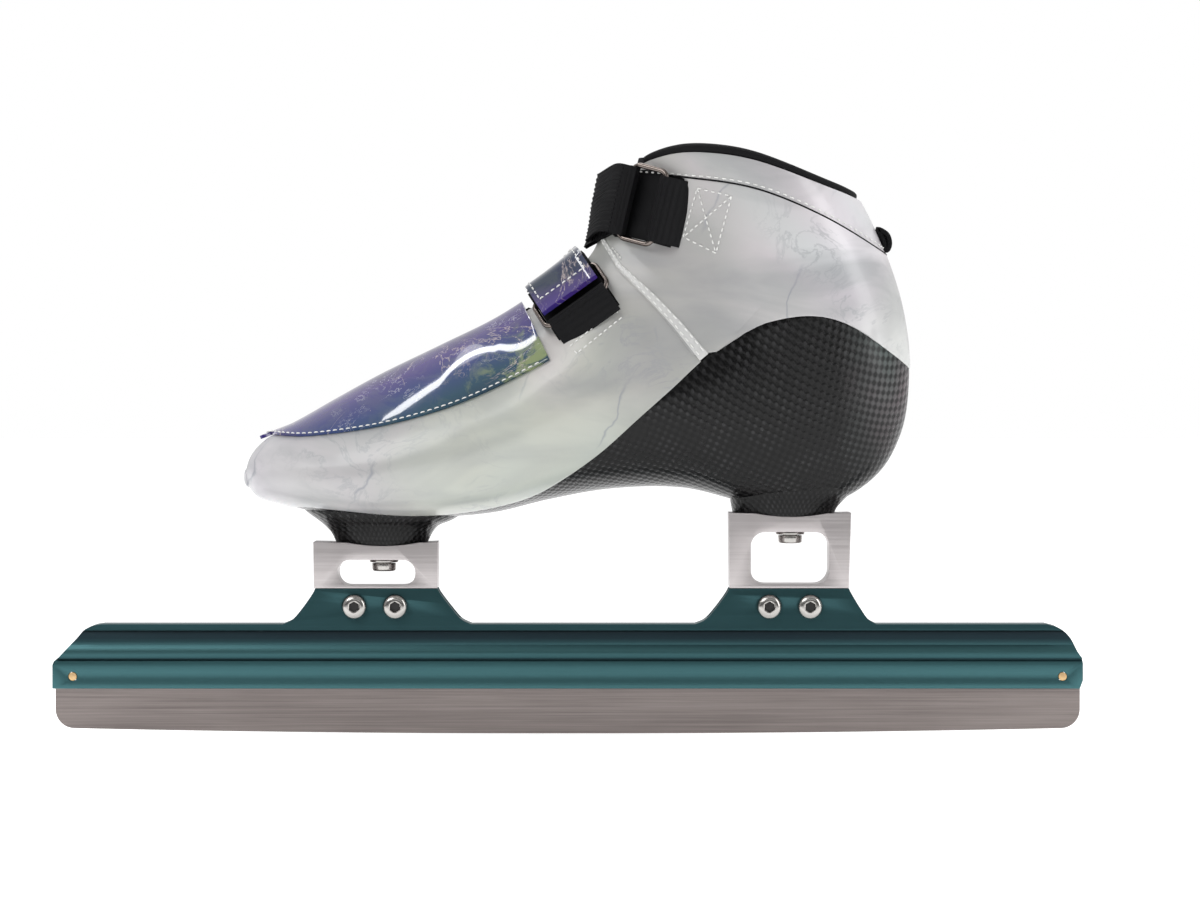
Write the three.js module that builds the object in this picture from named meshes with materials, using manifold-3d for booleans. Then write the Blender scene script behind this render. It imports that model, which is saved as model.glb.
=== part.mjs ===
// A short-track speed skate: a leather and carbon boot bolted to two cups, a blade tube and a blade.
// Millimetres. +X points to the heel, +Z up, and the wearer's outer side is -Y.
// The origin is the lowest point of the blade's running edge, half way along the blade.
import * as THREE from 'three';
import { mergeVertices } from 'three/addons/utils/BufferGeometryUtils.js';
import Module from 'manifold-3d';

const wasm = await Module();
wasm.setup();

// ---- driving dimensions ----
const gap = 0.3;
const blade = { endGap: 1, thickness: 1.2, showing: 18.9, held: 8.4, rocker: 9000, flat: 16, corner: 8 };
const tube = { length: 430, lipHalf: 4.2, lipHeight: 12, bulgeHalf: 5.6, bulgeHeight: 18.4, railHalf: 9,
  coveHeight: 24.6, height: 27.1, pedestalHeight: 42, cavityHalf: 3 };
const pin = { diameter: 3.5, fromEnd: 8.5, aboveTube: 5.1 };
const clampScrew = { shank: 6, head: 10.5, headHeight: 3.2, hex: 4, hexDepth: 2.2, pitch: 17, drop: 7.6 };
const clampNut = { across: 10, height: 5 };
const cupWidth = 26;
const tongueThickness = 8;
const tongueDepth = 12.5;
const tongueInset = 3;
const cups = {
  front: { x: -79.8, length: 51.7, height: 19.1, bolt: -76.7, clamps: -80.3,
    window: { x: -79.5, length: 32.5, bottom: 0.9, top: 11.7, round: 5.2 } },
  rear: { x: 92.4, length: 50.6, height: 31.3, bolt: 92.9, clamps: 92.5,
    window: { x: 92.5, length: 32.6, bottom: 1.5, top: 23.3, round: 6 } },
};
const seat = { chord: 30, dip: 1.4 };
const mountBolt = { shank: 6, head: 10, headHeight: 3.4, washer: 12, washerThickness: 1 };
const bladeShift = 4;
const insert = { diameter: 12, height: 6.5, aboveCup: 3.1 };
const leather = 1.8;
const carbonWall = 2.2;
const liningThickness = 2.5;
const tongueFoam = 4;
const throatHalf = 9;
const binding = 3.2;
const bindingLift = 0.8;
const coverThickness = 1.6;
const webbing = { width: 29, thickness: 1.5 };
const ring = { length: 31, width: 17, wire: 2.2, lift: 4.6, round: 3.6 };
const pinClearance = 0.15;
// the heights at which the bosses of the boot, as drawn here, stand on their cups
const footHeight = { front: 80.3, rear: 92.5 };
const tubeBottom = blade.showing;
const cupBottom = tubeBottom + tube.pedestalHeight + gap;

// ---- materials ----
const finish = (colour, roughness, metalness) =>
  new THREE.MeshStandardMaterial({ color: colour, roughness, metalness });
const anodised = finish(0x40696e, 0.35, 0.8);
const bladeSteel = finish(0x877d7a, 0.35, 0.9);
const cupAluminium = finish(0xb9b4b4, 0.4, 0.9);
const polishedSteel = finish(0xc8c6c4, 0.15, 1);
const brass = finish(0xc8a06e, 0.3, 1);
const carbon = finish(0x141416, 0.15, 0.1);
const whiteLeather = finish(0xdcdcdc, 0.3, 0);
const patent = finish(0x2a3f80, 0.1, 0);
const blackFabric = finish(0x101012, 0.8, 0);
const ringMetal = finish(0x6a625c, 0.3, 1);

// ---- solids ----
function toSolid(geometry) {
  geometry.deleteAttribute('normal');
  geometry.deleteAttribute('uv');
  const merged = mergeVertices(geometry, 1e-4);
  return new wasm.Manifold(new wasm.Mesh({
    numProp: 3,
    vertProperties: new Float32Array(merged.attributes.position.array),
    triVerts: new Uint32Array(merged.index.array),
  }));
}

function toGeometry(solid) {
  const mesh = solid.getMesh();
  const geometry = new THREE.BufferGeometry();
  geometry.setAttribute('position', new THREE.BufferAttribute(new Float32Array(mesh.vertProperties), 3));
  geometry.setIndex(new THREE.BufferAttribute(new Uint32Array(mesh.triVerts), 1));
  geometry.computeVertexNormals();
  return geometry;
}

const union = (solids) => solids.reduce((all, one) => all.add(one));

function shapeOf(points) {
  return new THREE.Shape(points.map(([a, b]) => new THREE.Vector2(a, b)));
}

// an outline in side view (x, z), extruded across the skate from y = from to y = to
function acrossY(points, from, to) {
  const geometry = new THREE.ExtrudeGeometry(shapeOf(points), { depth: to - from, bevelEnabled: false });
  geometry.rotateX(Math.PI / 2);
  geometry.translate(0, to, 0);
  return toSolid(geometry);
}

// an outline in end view (y, z), extruded along the skate from x = from to x = to
function alongX(points, from, to) {
  const geometry = new THREE.ExtrudeGeometry(shapeOf(points), { depth: to - from, bevelEnabled: false });
  geometry.applyMatrix4(new THREE.Matrix4().set(0, 0, 1, from, 1, 0, 0, 0, 0, 1, 0, 0, 0, 0, 0, 1));
  return toSolid(geometry);
}

function roundBar(diameter, from, to, sides = 14) {
  const geometry = new THREE.CylinderGeometry(diameter / 2, diameter / 2, to - from, sides);
  geometry.translate(0, (from + to) / 2, 0);
  return geometry;
}

// bars with their axis across the skate and upright
const barY = (diameter, x, z, from, to, sides) =>
  toSolid(roundBar(diameter, from, to, sides).translate(x, 0, z));
const barZ = (diameter, x, from, to, sides) =>
  toSolid(roundBar(diameter, from, to, sides).rotateX(Math.PI / 2).translate(x, 0, 0));

function roundedRectangle(x, z, length, height, round, steps = 5) {
  const corners = [[1, 1, 0], [-1, 1, 1], [-1, -1, 2], [1, -1, 3]];
  return corners.flatMap(([sx, sz, quarter]) => Array.from({ length: steps + 1 }, (_, i) => {
    const angle = (quarter + i / steps) * Math.PI / 2;
    return [x + sx * (length / 2 - round) + round * Math.cos(angle),
      z + sz * (height / 2 - round) + round * Math.sin(angle)];
  }));
}

const smooth = (points, samples) =>
  new THREE.SplineCurve(points.map(([a, b]) => new THREE.Vector2(a, b)))
    .getPoints(samples).map((p) => [p.x, p.y]);

// a closed surface through rings of equal size, with a flat fan or a point at each end
function loft(rings, closed = false) {
  const size = rings[0].length;
  const vertices = rings.flat();
  const triangles = [];
  const joins = closed ? rings.length : rings.length - 1;
  for (let i = 0; i < joins; i += 1) {
    const next = (i + 1) % rings.length;
    for (let j = 0; j < size; j += 1) {
      const k = (j + 1) % size;
      const corners = [i * size + j, i * size + k, next * size + k, next * size + j];
      triangles.push(corners[0], corners[1], corners[2], corners[0], corners[2], corners[3]);
    }
  }
  if (!closed) {
    for (const [row, flip] of [[0, true], [rings.length - 1, false]]) {
      const middle = rings[row].reduce((sum, p) => sum.add(p), new THREE.Vector3()).divideScalar(size);
      const centre = vertices.push(middle) - 1;
      for (let j = 0; j < size; j += 1) {
        const a = row * size + j;
        const b = row * size + (j + 1) % size;
        triangles.push(...(flip ? [centre, b, a] : [centre, a, b]));
      }
    }
  }
  const geometry = new THREE.BufferGeometry().setFromPoints(vertices);
  geometry.setIndex(triangles);
  const solid = toSolid(geometry);
  if (solid.volume() > 0) return solid;
  for (let t = 0; t < triangles.length; t += 3) {
    [triangles[t], triangles[t + 1]] = [triangles[t + 1], triangles[t]];
  }
  geometry.setIndex(triangles);
  return toSolid(geometry);
}

const skate = new THREE.Group();

function part(name, solid, material) {
  const mesh = new THREE.Mesh(toGeometry(solid), material);
  mesh.name = name;
  skate.add(mesh);
}

// ---- the boot's outer surface ----
// Stations from the toe to the collar. Each is a section plane holding one point of the instep line (top),
// one of the sole and heel line (bottom), and the Y axis: [half width, shift to the inner side, fullness].
const stations = [
  { top: [-134.4, 108.8], bottom: [-133.6, 104.2], width: [11, 8, 0.5, 1] },
  { top: [-132, 116], bottom: [-129, 99], width: [22, 8, 0.46, 1.1] },
  { top: [-125.5, 123], bottom: [-120.8, 96.4], width: [30, 8, 0.42, 1.2] },
  { top: [-113.4, 128.4], bottom: [-108, 93.2], width: [37, 7, 0.4, 1.3] },
  { top: [-96, 138.2], bottom: [-92, 91.2], width: [43, 5, 0.38, 1.5] },
  { top: [-77.6, 148.3], bottom: [-74, 90.5], width: [47.5, 3, 0.38, 1.6] },
  { top: [-52.1, 160.7], bottom: [-52, 90.5], width: [48.5, 1, 0.38, 1.6] },
  { top: [-28.3, 172.5], bottom: [-30, 92.5], width: [46, -1, 0.4, 1.6] },
  { top: [-8, 186], bottom: [-8, 97.7], width: [42.5, -2, 0.42, 1.5] },
  { top: [3, 195.5], bottom: [18, 102.2], width: [39, -2, 0.44, 1.3] },
  { top: [9.5, 203.5], bottom: [48, 102.6], width: [36.5, -1, 0.44, 1.2] },
  { top: [12.5, 209.5], bottom: [80, 95.5], width: [35, 0, 0.42, 1.1] },
  { top: [14.5, 215.5], bottom: [110, 96.2], width: [34.5, 0, 0.42, 1.05] },
  { top: [16, 220.5], bottom: [130, 108.8], width: [34.5, 0, 0.44, 1] },
  { top: [17.3, 224.5], bottom: [139.8, 127], width: [35, 0, 0.46, 1] },
  { top: [18.6, 228], bottom: [142.7, 150], width: [35.5, 0, 0.46, 1] },
  { top: [20, 231.2], bottom: [141, 171], width: [36, 0, 0.46, 1] },
  { top: [21.5, 234], bottom: [136, 191], width: [37, 0, 0.46, 1] },
  { top: [23.5, 237.5], bottom: [126, 215], width: [38, 0, 0.46, 1] },
  { top: [25.5, 246], bottom: [113, 239], width: [38.5, 0, 0.46, 1] },
  { top: [26.5, 262], bottom: [104, 262], width: [38.5, 0, 0.46, 1] },
];

const spline = (pick) => new THREE.CatmullRomCurve3(stations.map(pick), false, 'centripetal');
const topLine = spline(({ top }) => new THREE.Vector3(top[0], 0, top[1]));
const bottomLine = spline(({ bottom }) => new THREE.Vector3(bottom[0], 0, bottom[1]));

function stationValue(u, index) {
  const place = Math.min(u * (stations.length - 1), stations.length - 1.000001);
  const i = Math.floor(place);
  const mix = place - i;
  return stations[i].width[index] * (1 - mix) + stations[i + 1].width[index] * mix;
}

function skinPoint(u, angle) {
  const down = (1 - Math.cos(angle)) / 2;
  const side = Math.sin(angle) < 0 ? -1 : 1;
  const point = topLine.getPoint(u).lerp(bottomLine.getPoint(u), down);
  const fullness = Math.sin(Math.PI * down ** stationValue(u, 3)) ** stationValue(u, 2);
  const shift = stationValue(u, 1) * Math.sin(Math.PI * down);
  point.y = side * stationValue(u, 0) * (fullness || 0) + shift;
  return point;
}

function skinNormal(u, angle) {
  const step = 0.012;
  const low = Math.max(u - step, 0);
  const high = Math.min(u + step, 1);
  const along = skinPoint(high, angle).sub(skinPoint(low, angle));
  const turn = 0.08;
  const around = skinPoint(u, angle + turn).sub(skinPoint(u, angle - turn));
  return along.cross(around).normalize();
}

const bootPoint = (u, angle, offset) =>
  skinPoint(u, angle).addScaledVector(skinNormal(u, angle), offset);

const ringSteps = 18;
const skinSteps = 26;

// the closed volume inside the surface moved outwards by offset, reaching above the collar
function bootVolume(offset) {
  const start = offset < -2 ? 0.045 : 0.012;
  const rings = [];
  for (let i = 0; i <= skinSteps; i += 1) {
    const u = start + (1 - start) * i / skinSteps;
    const loop = [];
    for (let j = 0; j < ringSteps; j += 1) loop.push(bootPoint(u, (j + 0.5) / ringSteps * 2 * Math.PI, offset));
    rings.push(loop);
  }
  return loft(rings);
}

// where the side-view point (x, z) lies on the surface: section and angle on the outer side (-Y)
function findSkin(x, z) {
  const across = (u) => {
    const top = topLine.getPoint(u);
    const bottom = bottomLine.getPoint(u);
    return (bottom.x - top.x) * (z - top.z) - (bottom.z - top.z) * (x - top.x);
  };
  let low = 0.02;
  let high = 0.97;
  const lowSide = Math.sign(across(low));
  for (let i = 0; i < 40; i += 1) {
    const middle = (low + high) / 2;
    if (Math.sign(across(middle)) === lowSide) low = middle;
    else high = middle;
  }
  const top = topLine.getPoint(low);
  const bottom = bottomLine.getPoint(low);
  const line = bottom.clone().sub(top);
  const down = new THREE.Vector3(x, 0, z).sub(top).dot(line) / line.lengthSq();
  return { u: low, angle: 2 * Math.PI - Math.acos(1 - 2 * THREE.MathUtils.clamp(down, 0, 1)) };
}

// ---- side-view lines on the boot ----
const carbonEdge = smooth([[-150, 93], [-119.5, 94.4], [-108.5, 95.2], [-93.9, 93.9], [-67, 91.6], [-45.5, 92.6],
  [-26.6, 95.9], [-13.8, 100], [-3.8, 105.5], [12.9, 117.2], [29.6, 132.1], [43, 144], [59.4, 158.9],
  [74.3, 168.2], [83.2, 172.3], [100.3, 175.1], [115.3, 171.9], [135.4, 159.2], [160, 140]], 40);
const cuffSeam = [[2, 226], [14, 206], [21.1, 193.1], [34.5, 179.8], [44.1, 169.2], [56, 154]];
const bandSeam = smooth([[-20, 234], [20, 234], [49.4, 231], [77.6, 226.2], [106.3, 214.7], [132.2, 199.9],
  [150, 189]], 16);
const collarEdge = smooth([[-20, 222], [24, 232], [34.5, 238], [46, 240.4], [61.3, 239.9], [77.6, 237],
  [106.3, 227], [120.7, 221.4], [150, 207]], 20);
const floorLine = [[-150, 102], [-124, 99.6], [-100, 94.4], [-45, 93.3], [-18, 98], [4, 102.6], [24, 105.2], [160, 105.2]];

const raised = (line, dz) => line.map(([x, z]) => [x, z + dz]);
const moved = (line, dx, dz) => line.map(([x, z]) => [x + dx, z + dz]);
const reach = 90;
const above = (line, limit = 300) =>
  acrossY([...line, [line.at(-1)[0], limit], [line[0][0], limit]], -reach, reach);
const below = (line, limit = -20) =>
  acrossY([...line, [line.at(-1)[0], limit], [line[0][0], limit]], -reach, reach);
const half = gap / 2;

// the narrow opening over the instep and up the front of the ankle
function throatCut(halfWidth, startU) {
  const outer = [];
  const inner = [];
  for (let i = 0; i <= 12; i += 1) {
    const point = topLine.getPoint(startU + (0.995 - startU) * i / 12);
    const tangent = topLine.getTangent(Math.min(startU + (0.98 - startU) * i / 12, 0.98));
    outer.push([point.x - tangent.z * 14, point.z + tangent.x * 14]);
    inner.push([point.x + tangent.z * 14, point.z - tangent.x * 14]);
  }
  return acrossY([...outer, ...inner.reverse()], -halfWidth, halfWidth);
}

// ---- runner ----
function makeBlade() {
  const top = blade.showing + blade.held;
  const end = tube.length / 2 - blade.endGap;
  const rocker = (x) => Math.max(Math.abs(x) - blade.flat / 2, 0) ** 2 / (2 * blade.rocker);
  const points = [];
  const steps = 12;
  const lower = end - blade.corner;
  for (let i = 0; i <= 2 * steps + 1; i += 1) {
    const side = i <= steps ? -1 : 1;
    const share = i <= steps ? 1 - i / steps : (i - steps - 1) / steps;
    const x = side * (blade.flat / 2 + (lower - blade.flat / 2) * share);
    points.push([x, rocker(x)]);
  }
  const corner = (side) => Array.from({ length: 5 }, (_, i) => {
    const angle = (i + 1) / 5 * Math.PI / 2;
    return [side * (lower + blade.corner * Math.sin(angle)),
      rocker(lower) + blade.corner * (1 - Math.cos(angle))];
  });
  const outline = [...corner(-1).reverse(), ...points, ...corner(1), [end, top], [-end, top]];
  const halfThick = blade.thickness / 2;
  return acrossY(outline, -halfThick, halfThick);
}

const pinX = tube.length / 2 - pin.fromEnd;
const pinZ = tubeBottom + pin.aboveTube;
const clampZ = tubeBottom + tube.pedestalHeight - clampScrew.drop;
const clampX = (end) => [-1, 1].map((side) => cups[end].clamps + side * clampScrew.pitch / 2);
const boreDiameter = clampScrew.shank + 2 * gap;

function tubeSection() {
  const z = (height) => tubeBottom + height;
  const slotHalf = blade.thickness / 2 + gap;
  const bulgeMiddle = (tube.lipHeight + tube.bulgeHeight) / 2;
  const right = [
    [slotHalf, z(0)], [tube.lipHalf - 0.5, z(0)], [tube.lipHalf, z(0.5)], [tube.lipHalf, z(tube.lipHeight - 0.5)],
    [tube.lipHalf - 0.4, z(tube.lipHeight)], [tube.bulgeHalf - 0.7, z(tube.lipHeight + 0.6)],
    [tube.bulgeHalf, z(bulgeMiddle)], [tube.bulgeHalf - 0.7, z(tube.bulgeHeight)],
    [tube.bulgeHalf - 0.3, z(tube.bulgeHeight + 2.2)], [tube.bulgeHalf + 0.9, z(tube.bulgeHeight + 4.4)],
    [tube.railHalf - 0.9, z(tube.coveHeight - 0.4)], [tube.railHalf, z(tube.coveHeight)],
    [tube.railHalf, z(tube.pedestalHeight + 2)],
  ];
  const left = right.map(([y, height]) => [-y, height]).reverse();
  const slotTop = z(blade.held + gap);
  return [...right, ...left, [-slotHalf, slotTop], [slotHalf, slotTop]];
}

function makeTube() {
  const end = tube.length / 2;
  const z = (height) => tubeBottom + height;
  const top = z(tube.height);
  const peak = z(tube.pedestalHeight);
  const toeEnd = [[-end, z(0)], [-end, z(9.9)], [-end + 0.7, z(11.5)], [-end + 2.6, z(13)], [-end + 11, z(21.8)],
    [-end + 13.6, z(24.6)], [-end + 17.2, z(26.4)], [-end + 21, top]];
  const heelEnd = [[end - 15.5, top], [end - 11, z(25.8)], [end - 7.6, z(23.6)], [end - 5, z(20.6)],
    [end - 2.4, z(15.6)], [end - 0.5, z(12.9)], [end, z(10.6)], [end, z(3.5)], [end - 1.3, z(0)]];
  const pedestal = ({ x, length }, leftRun, rightRun) => {
    const from = x - length / 2 + gap;
    const to = x + length / 2 - gap;
    return [[from - leftRun, top], [from - leftRun * 0.6, top + 2.1], [from, peak], [to, peak],
      [to + rightRun * 0.6, top + 2.9], [to + rightRun, top]];
  };
  const front = pedestal(cups.front, 13.5, 14);
  const rear = pedestal(cups.rear, 14, 11.5);
  const side = acrossY([...toeEnd.reverse(), ...[...heelEnd].reverse(), ...rear.reverse(), ...front.reverse()], -20, 20);
  const hollow = [[-tube.cavityHalf, z(tube.lipHeight + 1.4)], [tube.cavityHalf, z(tube.lipHeight + 1.4)],
    [tube.cavityHalf, z(tube.bulgeHeight + 1)], [tube.cavityHalf + 2.4, z(tube.coveHeight - 0.8)],
    [-tube.cavityHalf - 2.4, z(tube.coveHeight - 0.8)], [-tube.cavityHalf, z(tube.bulgeHeight + 1)]];
  let solid = alongX(tubeSection(), -end - 1, end + 1).intersect(side).subtract(alongX(hollow, -end - 2, end + 2));
  for (const [name, cup] of Object.entries(cups)) {
    const slotHalf = tongueThickness / 2 + gap;
    const slotBottom = cupBottom - tongueDepth - gap;
    const slot = [[-slotHalf, slotBottom], [slotHalf, slotBottom], [slotHalf, peak + 5], [-slotHalf, peak + 5]];
    solid = solid.subtract(alongX(slot, cup.x - cup.length, cup.x + cup.length));
    for (const x of clampX(name)) solid = solid.subtract(barY(boreDiameter, x, clampZ, -20, 20));
  }
  for (const x of [-pinX, pinX]) solid = solid.subtract(barY(pin.diameter + 2 * gap, x, pinZ, -20, 20));
  return solid;
}

function makeCup(name) {
  const cup = cups[name];
  const top = cupBottom + cup.height;
  const left = cup.x - cup.length / 2;
  const right = cup.x + cup.length / 2;
  const halfWidth = cupWidth / 2;
  const dip = seatLine(name, top).map(([x, z]) => [x, z - gap]);
  const block = acrossY([[left, cupBottom], [right, cupBottom], [right, top], ...dip.reverse(), [left, top]],
    -halfWidth, halfWidth);
  const window = cup.window;
  const hole = roundedRectangle(window.x, cupBottom + (window.bottom + window.top) / 2, window.length,
    window.top - window.bottom, window.round);
  const tongueLeft = left + tongueInset;
  const tongueRight = right - tongueInset;
  const tongue = acrossY([[tongueLeft, cupBottom - tongueDepth], [tongueRight, cupBottom - tongueDepth],
    [tongueRight, cupBottom + 0.5], [tongueLeft, cupBottom + 0.5]], -tongueThickness / 2, tongueThickness / 2);
  let solid = block.add(tongue).subtract(acrossY(hole, -reach, reach));
  const slotHalf = mountBolt.shank / 2 + gap + 0.2;
  const slotReach = bladeShift + slotHalf;
  const slotShape = roundedRectangle(cups[name].bolt, 0, 2 * slotHalf, 2 * slotReach, slotHalf - 0.1);
  const slot = new THREE.ExtrudeGeometry(shapeOf(slotShape), { depth: 30, bevelEnabled: false });
  solid = solid.subtract(toSolid(slot.translate(0, 0, cupBottom + (window.bottom + window.top) / 2)));
  for (const x of clampX(name)) solid = solid.subtract(barY(boreDiameter, x, clampZ, -20, 20));
  return solid;
}

// the shallow round seat in a cup's top, which the boss rests in
function seatLine(name, top) {
  const radius = ((seat.chord / 2) ** 2 + seat.dip ** 2) / (2 * seat.dip);
  return Array.from({ length: 9 }, (_, i) => {
    const x = (i / 8 - 0.5) * seat.chord;
    return [cups[name].bolt + x, top + radius - seat.dip - Math.sqrt(radius ** 2 - x ** 2)];
  });
}

function hexagon(across) {
  return Array.from({ length: 6 }, (_, i) => {
    const angle = (i + 0.5) * Math.PI / 3;
    return [across / Math.sqrt(3) * Math.cos(angle), across / Math.sqrt(3) * Math.sin(angle)];
  });
}

function makeClampScrew(x) {
  const face = -tube.railHalf - gap;
  const radius = clampScrew.head / 2;
  const dome = [0, 0.25, 0.5, 0.75, 1].map((share) => new THREE.Vector2(
    radius * (0.55 + 0.45 * Math.sin(share * Math.PI / 2)),
    face - clampScrew.headHeight + clampScrew.headHeight * 0.8 * (1 - Math.cos(share * Math.PI / 2))));
  const profile = [new THREE.Vector2(0, face - clampScrew.headHeight), ...dome, new THREE.Vector2(radius, face),
    new THREE.Vector2(clampScrew.shank / 2, face), new THREE.Vector2(clampScrew.shank / 2, tube.railHalf + clampNut.height + 1.4),
    new THREE.Vector2(0, tube.railHalf + clampNut.height + 1.4)];
  const body = toSolid(new THREE.LatheGeometry(profile, 14).translate(x, 0, clampZ));
  const top = face - clampScrew.headHeight;
  const socket = hexagon(clampScrew.hex).map(([a, b]) => [x + a, clampZ + b]);
  return body.subtract(acrossY(socket, top - 1, top + clampScrew.hexDepth));
}

function makeClampNut(x) {
  const outline = hexagon(clampNut.across).map(([a, b]) => [x + a, clampZ + b]);
  const from = tube.railHalf + gap;
  return acrossY(outline, from, from + clampNut.height)
    .subtract(barY(boreDiameter, x, clampZ, -20, 40));
}

part('blade', makeBlade().subtract(union([-pinX, pinX].map((x) =>
  barY(pin.diameter + 2 * gap, x, pinZ, -5, 5)))), bladeSteel);
part('blade_tube', makeTube(), anodised);
const pinReach = tube.lipHalf + pinClearance;
part('front_blade_pin', barY(pin.diameter, -pinX, pinZ, -pinReach, pinReach, 16), brass);
part('rear_blade_pin', barY(pin.diameter, pinX, pinZ, -pinReach, pinReach, 16), brass);
for (const name of Object.keys(cups)) {
  part(`${name}_cup`, makeCup(name), cupAluminium);
  clampX(name).forEach((x, i) => {
    part(`${name}_clamp_screw_${i + 1}`, makeClampScrew(x), polishedSteel);
    part(`${name}_clamp_nut_${i + 1}`, makeClampNut(x), polishedSteel);
  });
}

// ---- bolts between the cups and the boot ----
const bossBottom = (name) => cupBottom + cups[name].height;
const insertBottom = (name) => bossBottom(name) + insert.aboveCup;
const insertTop = (name) => insertBottom(name) + insert.height;

// the boot as drawn, moved and tilted so that its bosses come down on the cups
const rise = { front: bossBottom('front') - footHeight.front, rear: bossBottom('rear') - footHeight.rear };
const bootTilt = -Math.atan2(rise.rear - rise.front, cups.rear.bolt - cups.front.bolt) * 180 / Math.PI;
const seated = (solid) => solid.translate([-cups.front.bolt, 0, -footHeight.front]).rotate([0, bootTilt, 0])
  .translate([cups.front.bolt, 0, bossBottom('front')]);
const bootPart = (name, solid, material) => part(name, seated(solid), material);

for (const name of Object.keys(cups)) {
  const x = cups[name].bolt;
  const plate = cupBottom + cups[name].window.top;
  const washerTop = plate - gap;
  const headTop = washerTop - mountBolt.washerThickness - gap;
  const head = barZ(mountBolt.head, x, headTop - mountBolt.headHeight, headTop);
  const shank = barZ(mountBolt.shank, x, headTop - 1, insertTop(name));
  const socket = new THREE.ExtrudeGeometry(shapeOf(hexagon(clampScrew.hex + 1)), { depth: 3, bevelEnabled: false });
  socket.translate(x, 0, headTop - mountBolt.headHeight - 1);
  part(`${name}_mount_bolt`, head.add(shank).subtract(toSolid(socket)), polishedSteel);
  const washer = barZ(mountBolt.washer, x, washerTop - mountBolt.washerThickness, washerTop);
  const bore = barZ(mountBolt.shank + 2 * gap, x, washerTop - 5, washerTop + 5);
  part(`${name}_mount_washer`, washer.subtract(bore), polishedSteel);
  const nut = barZ(insert.diameter, x, insertBottom(name), insertTop(name));
  const threadHole = barZ(mountBolt.shank + 2 * gap, x, insertBottom(name) - 1, insertTop(name) + 1);
  part(`${name}_sole_insert`, nut.subtract(threadHole), brass);
}

// ---- boot shell ----
const outerSkin = bootVolume(0);
const floorCut = (lift) => above(raised(floorLine, lift));

// a boss: ovals from the flat foot on the cup up into the sole; each level is [height, half length, half width]
function makeBoss(name, levels, shifts) {
  const bottom = footHeight[name];
  const rings = levels.map(([z, halfLength, halfWidth], level) => Array.from({ length: 18 }, (_, i) => {
    const angle = (i + 0.5) / 18 * 2 * Math.PI;
    const square = (value) => Math.sign(value) * Math.abs(value) ** 0.8;
    return new THREE.Vector3(cups[name].bolt + shifts[level] + halfLength * square(Math.cos(angle)),
      halfWidth * square(Math.sin(angle)), bottom + z);
  }));
  return loft(rings);
}

// everything that lies below a boss's foot, which follows the seat in the cup's top
function seatCut(name) {
  const bottom = bossBottom(name);
  const { x, length } = cups[name];
  return acrossY([...seatLine(name, bottom), [x + length, bottom], [x + length, bottom - length],
    [x - length, bottom - length], [x - length, bottom]], -reach, reach);
}

const frontBoss = makeBoss('front', [[-2, 17, 12.5], [2.5, 19.5, 14], [5.2, 22, 16], [8.6, 26.5, 20.5],
  [10.5, 31, 26], [15, 37, 31]], [0.6, -0.2, -0.6, -0.6, -2.2, -4]);
const rearBoss = makeBoss('rear', [[-2, 20.5, 17], [2.5, 23, 20.5], [6, 25.5, 24], [16, 27, 26]],
  [-1.6, -1.6, -1.4, -1.4]);

function makeCarbonBase() {
  const lasting = bootVolume(-carbonWall).intersect(floorCut(0));
  const drawn = union([outerSkin, frontBoss, rearBoss]).intersect(below(raised(carbonEdge, -half))).subtract(lasting);
  let solid = seated(drawn);
  for (const [name, { bolt }] of Object.entries(cups)) {
    const pocket = barZ(insert.diameter + 2 * gap, bolt, insertBottom(name) - gap, insertTop(name) + gap);
    const hole = barZ(mountBolt.shank + 2 * gap, bolt, bossBottom(name) - 5, insertTop(name) + gap);
    solid = solid.subtract(seatCut(name)).subtract(pocket).subtract(hole);
  }
  return solid;
}

const throatStart = 0.215;
const upper = outerSkin.subtract(bootVolume(-leather)).intersect(above(raised(carbonEdge, half)));
const cuffSide = (shift) => acrossY([...moved(cuffSeam, shift, shift * 0.8), [300, 100], [300, 300], [-20, 300]],
  -reach, reach);
part('carbon_base', makeCarbonBase(), carbon);
bootPart('vamp', upper.subtract(cuffSide(-half)).subtract(throatCut(throatHalf, throatStart)), whiteLeather);
const cuff = upper.intersect(cuffSide(half)).intersect(below(raised(bandSeam, -half)))
  .subtract(throatCut(throatHalf, throatStart));
const cuffHalf = (from, to) => cuff.intersect(acrossY([[-200, 0], [300, 0], [300, 300], [-200, 300]], from, to));
bootPart('near_cuff', cuffHalf(-reach, -half), whiteLeather);
bootPart('far_cuff', cuffHalf(half, reach), whiteLeather);
bootPart('collar_band', upper.intersect(above(raised(bandSeam, half))).intersect(below(collarEdge))
  .subtract(throatCut(throatHalf + 1, throatStart)), whiteLeather);

// ---- lining, insole and tongue ----
const liningOuter = leather + 0.7;
const lining = bootVolume(-liningOuter).intersect(floorCut(gap))
  .subtract(bootVolume(-liningOuter - liningThickness).intersect(floorCut(gap + liningThickness)))
  .intersect(below(raised(collarEdge, 0.4))).subtract(throatCut(throatHalf + 2, throatStart));
bootPart('lining', lining, blackFabric);
const insideLining = -liningOuter - liningThickness - gap;
bootPart('insole', bootVolume(insideLining).intersect(floorCut(liningThickness + 2 * gap))
  .intersect(below(raised(floorLine, liningThickness + 2 * gap + 3))), blackFabric);

const bootInside = bootVolume(insideLining);
bootPart('tongue', bootInside.subtract(bootVolume(insideLining - tongueFoam)).intersect(throatCut(24, throatStart + 0.02))
  .intersect(below(raised(collarEdge, 3))), blackFabric);

// ---- collar binding: a round edge along the top of the collar ----
function heightOn(line, x) {
  const i = Math.max(line.findIndex((point) => point[0] > x), 1);
  const [[x0, z0], [x1, z1]] = [line[i - 1], line[i]];
  return z0 + (z1 - z0) * (x - x0) / (x1 - x0);
}

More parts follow.
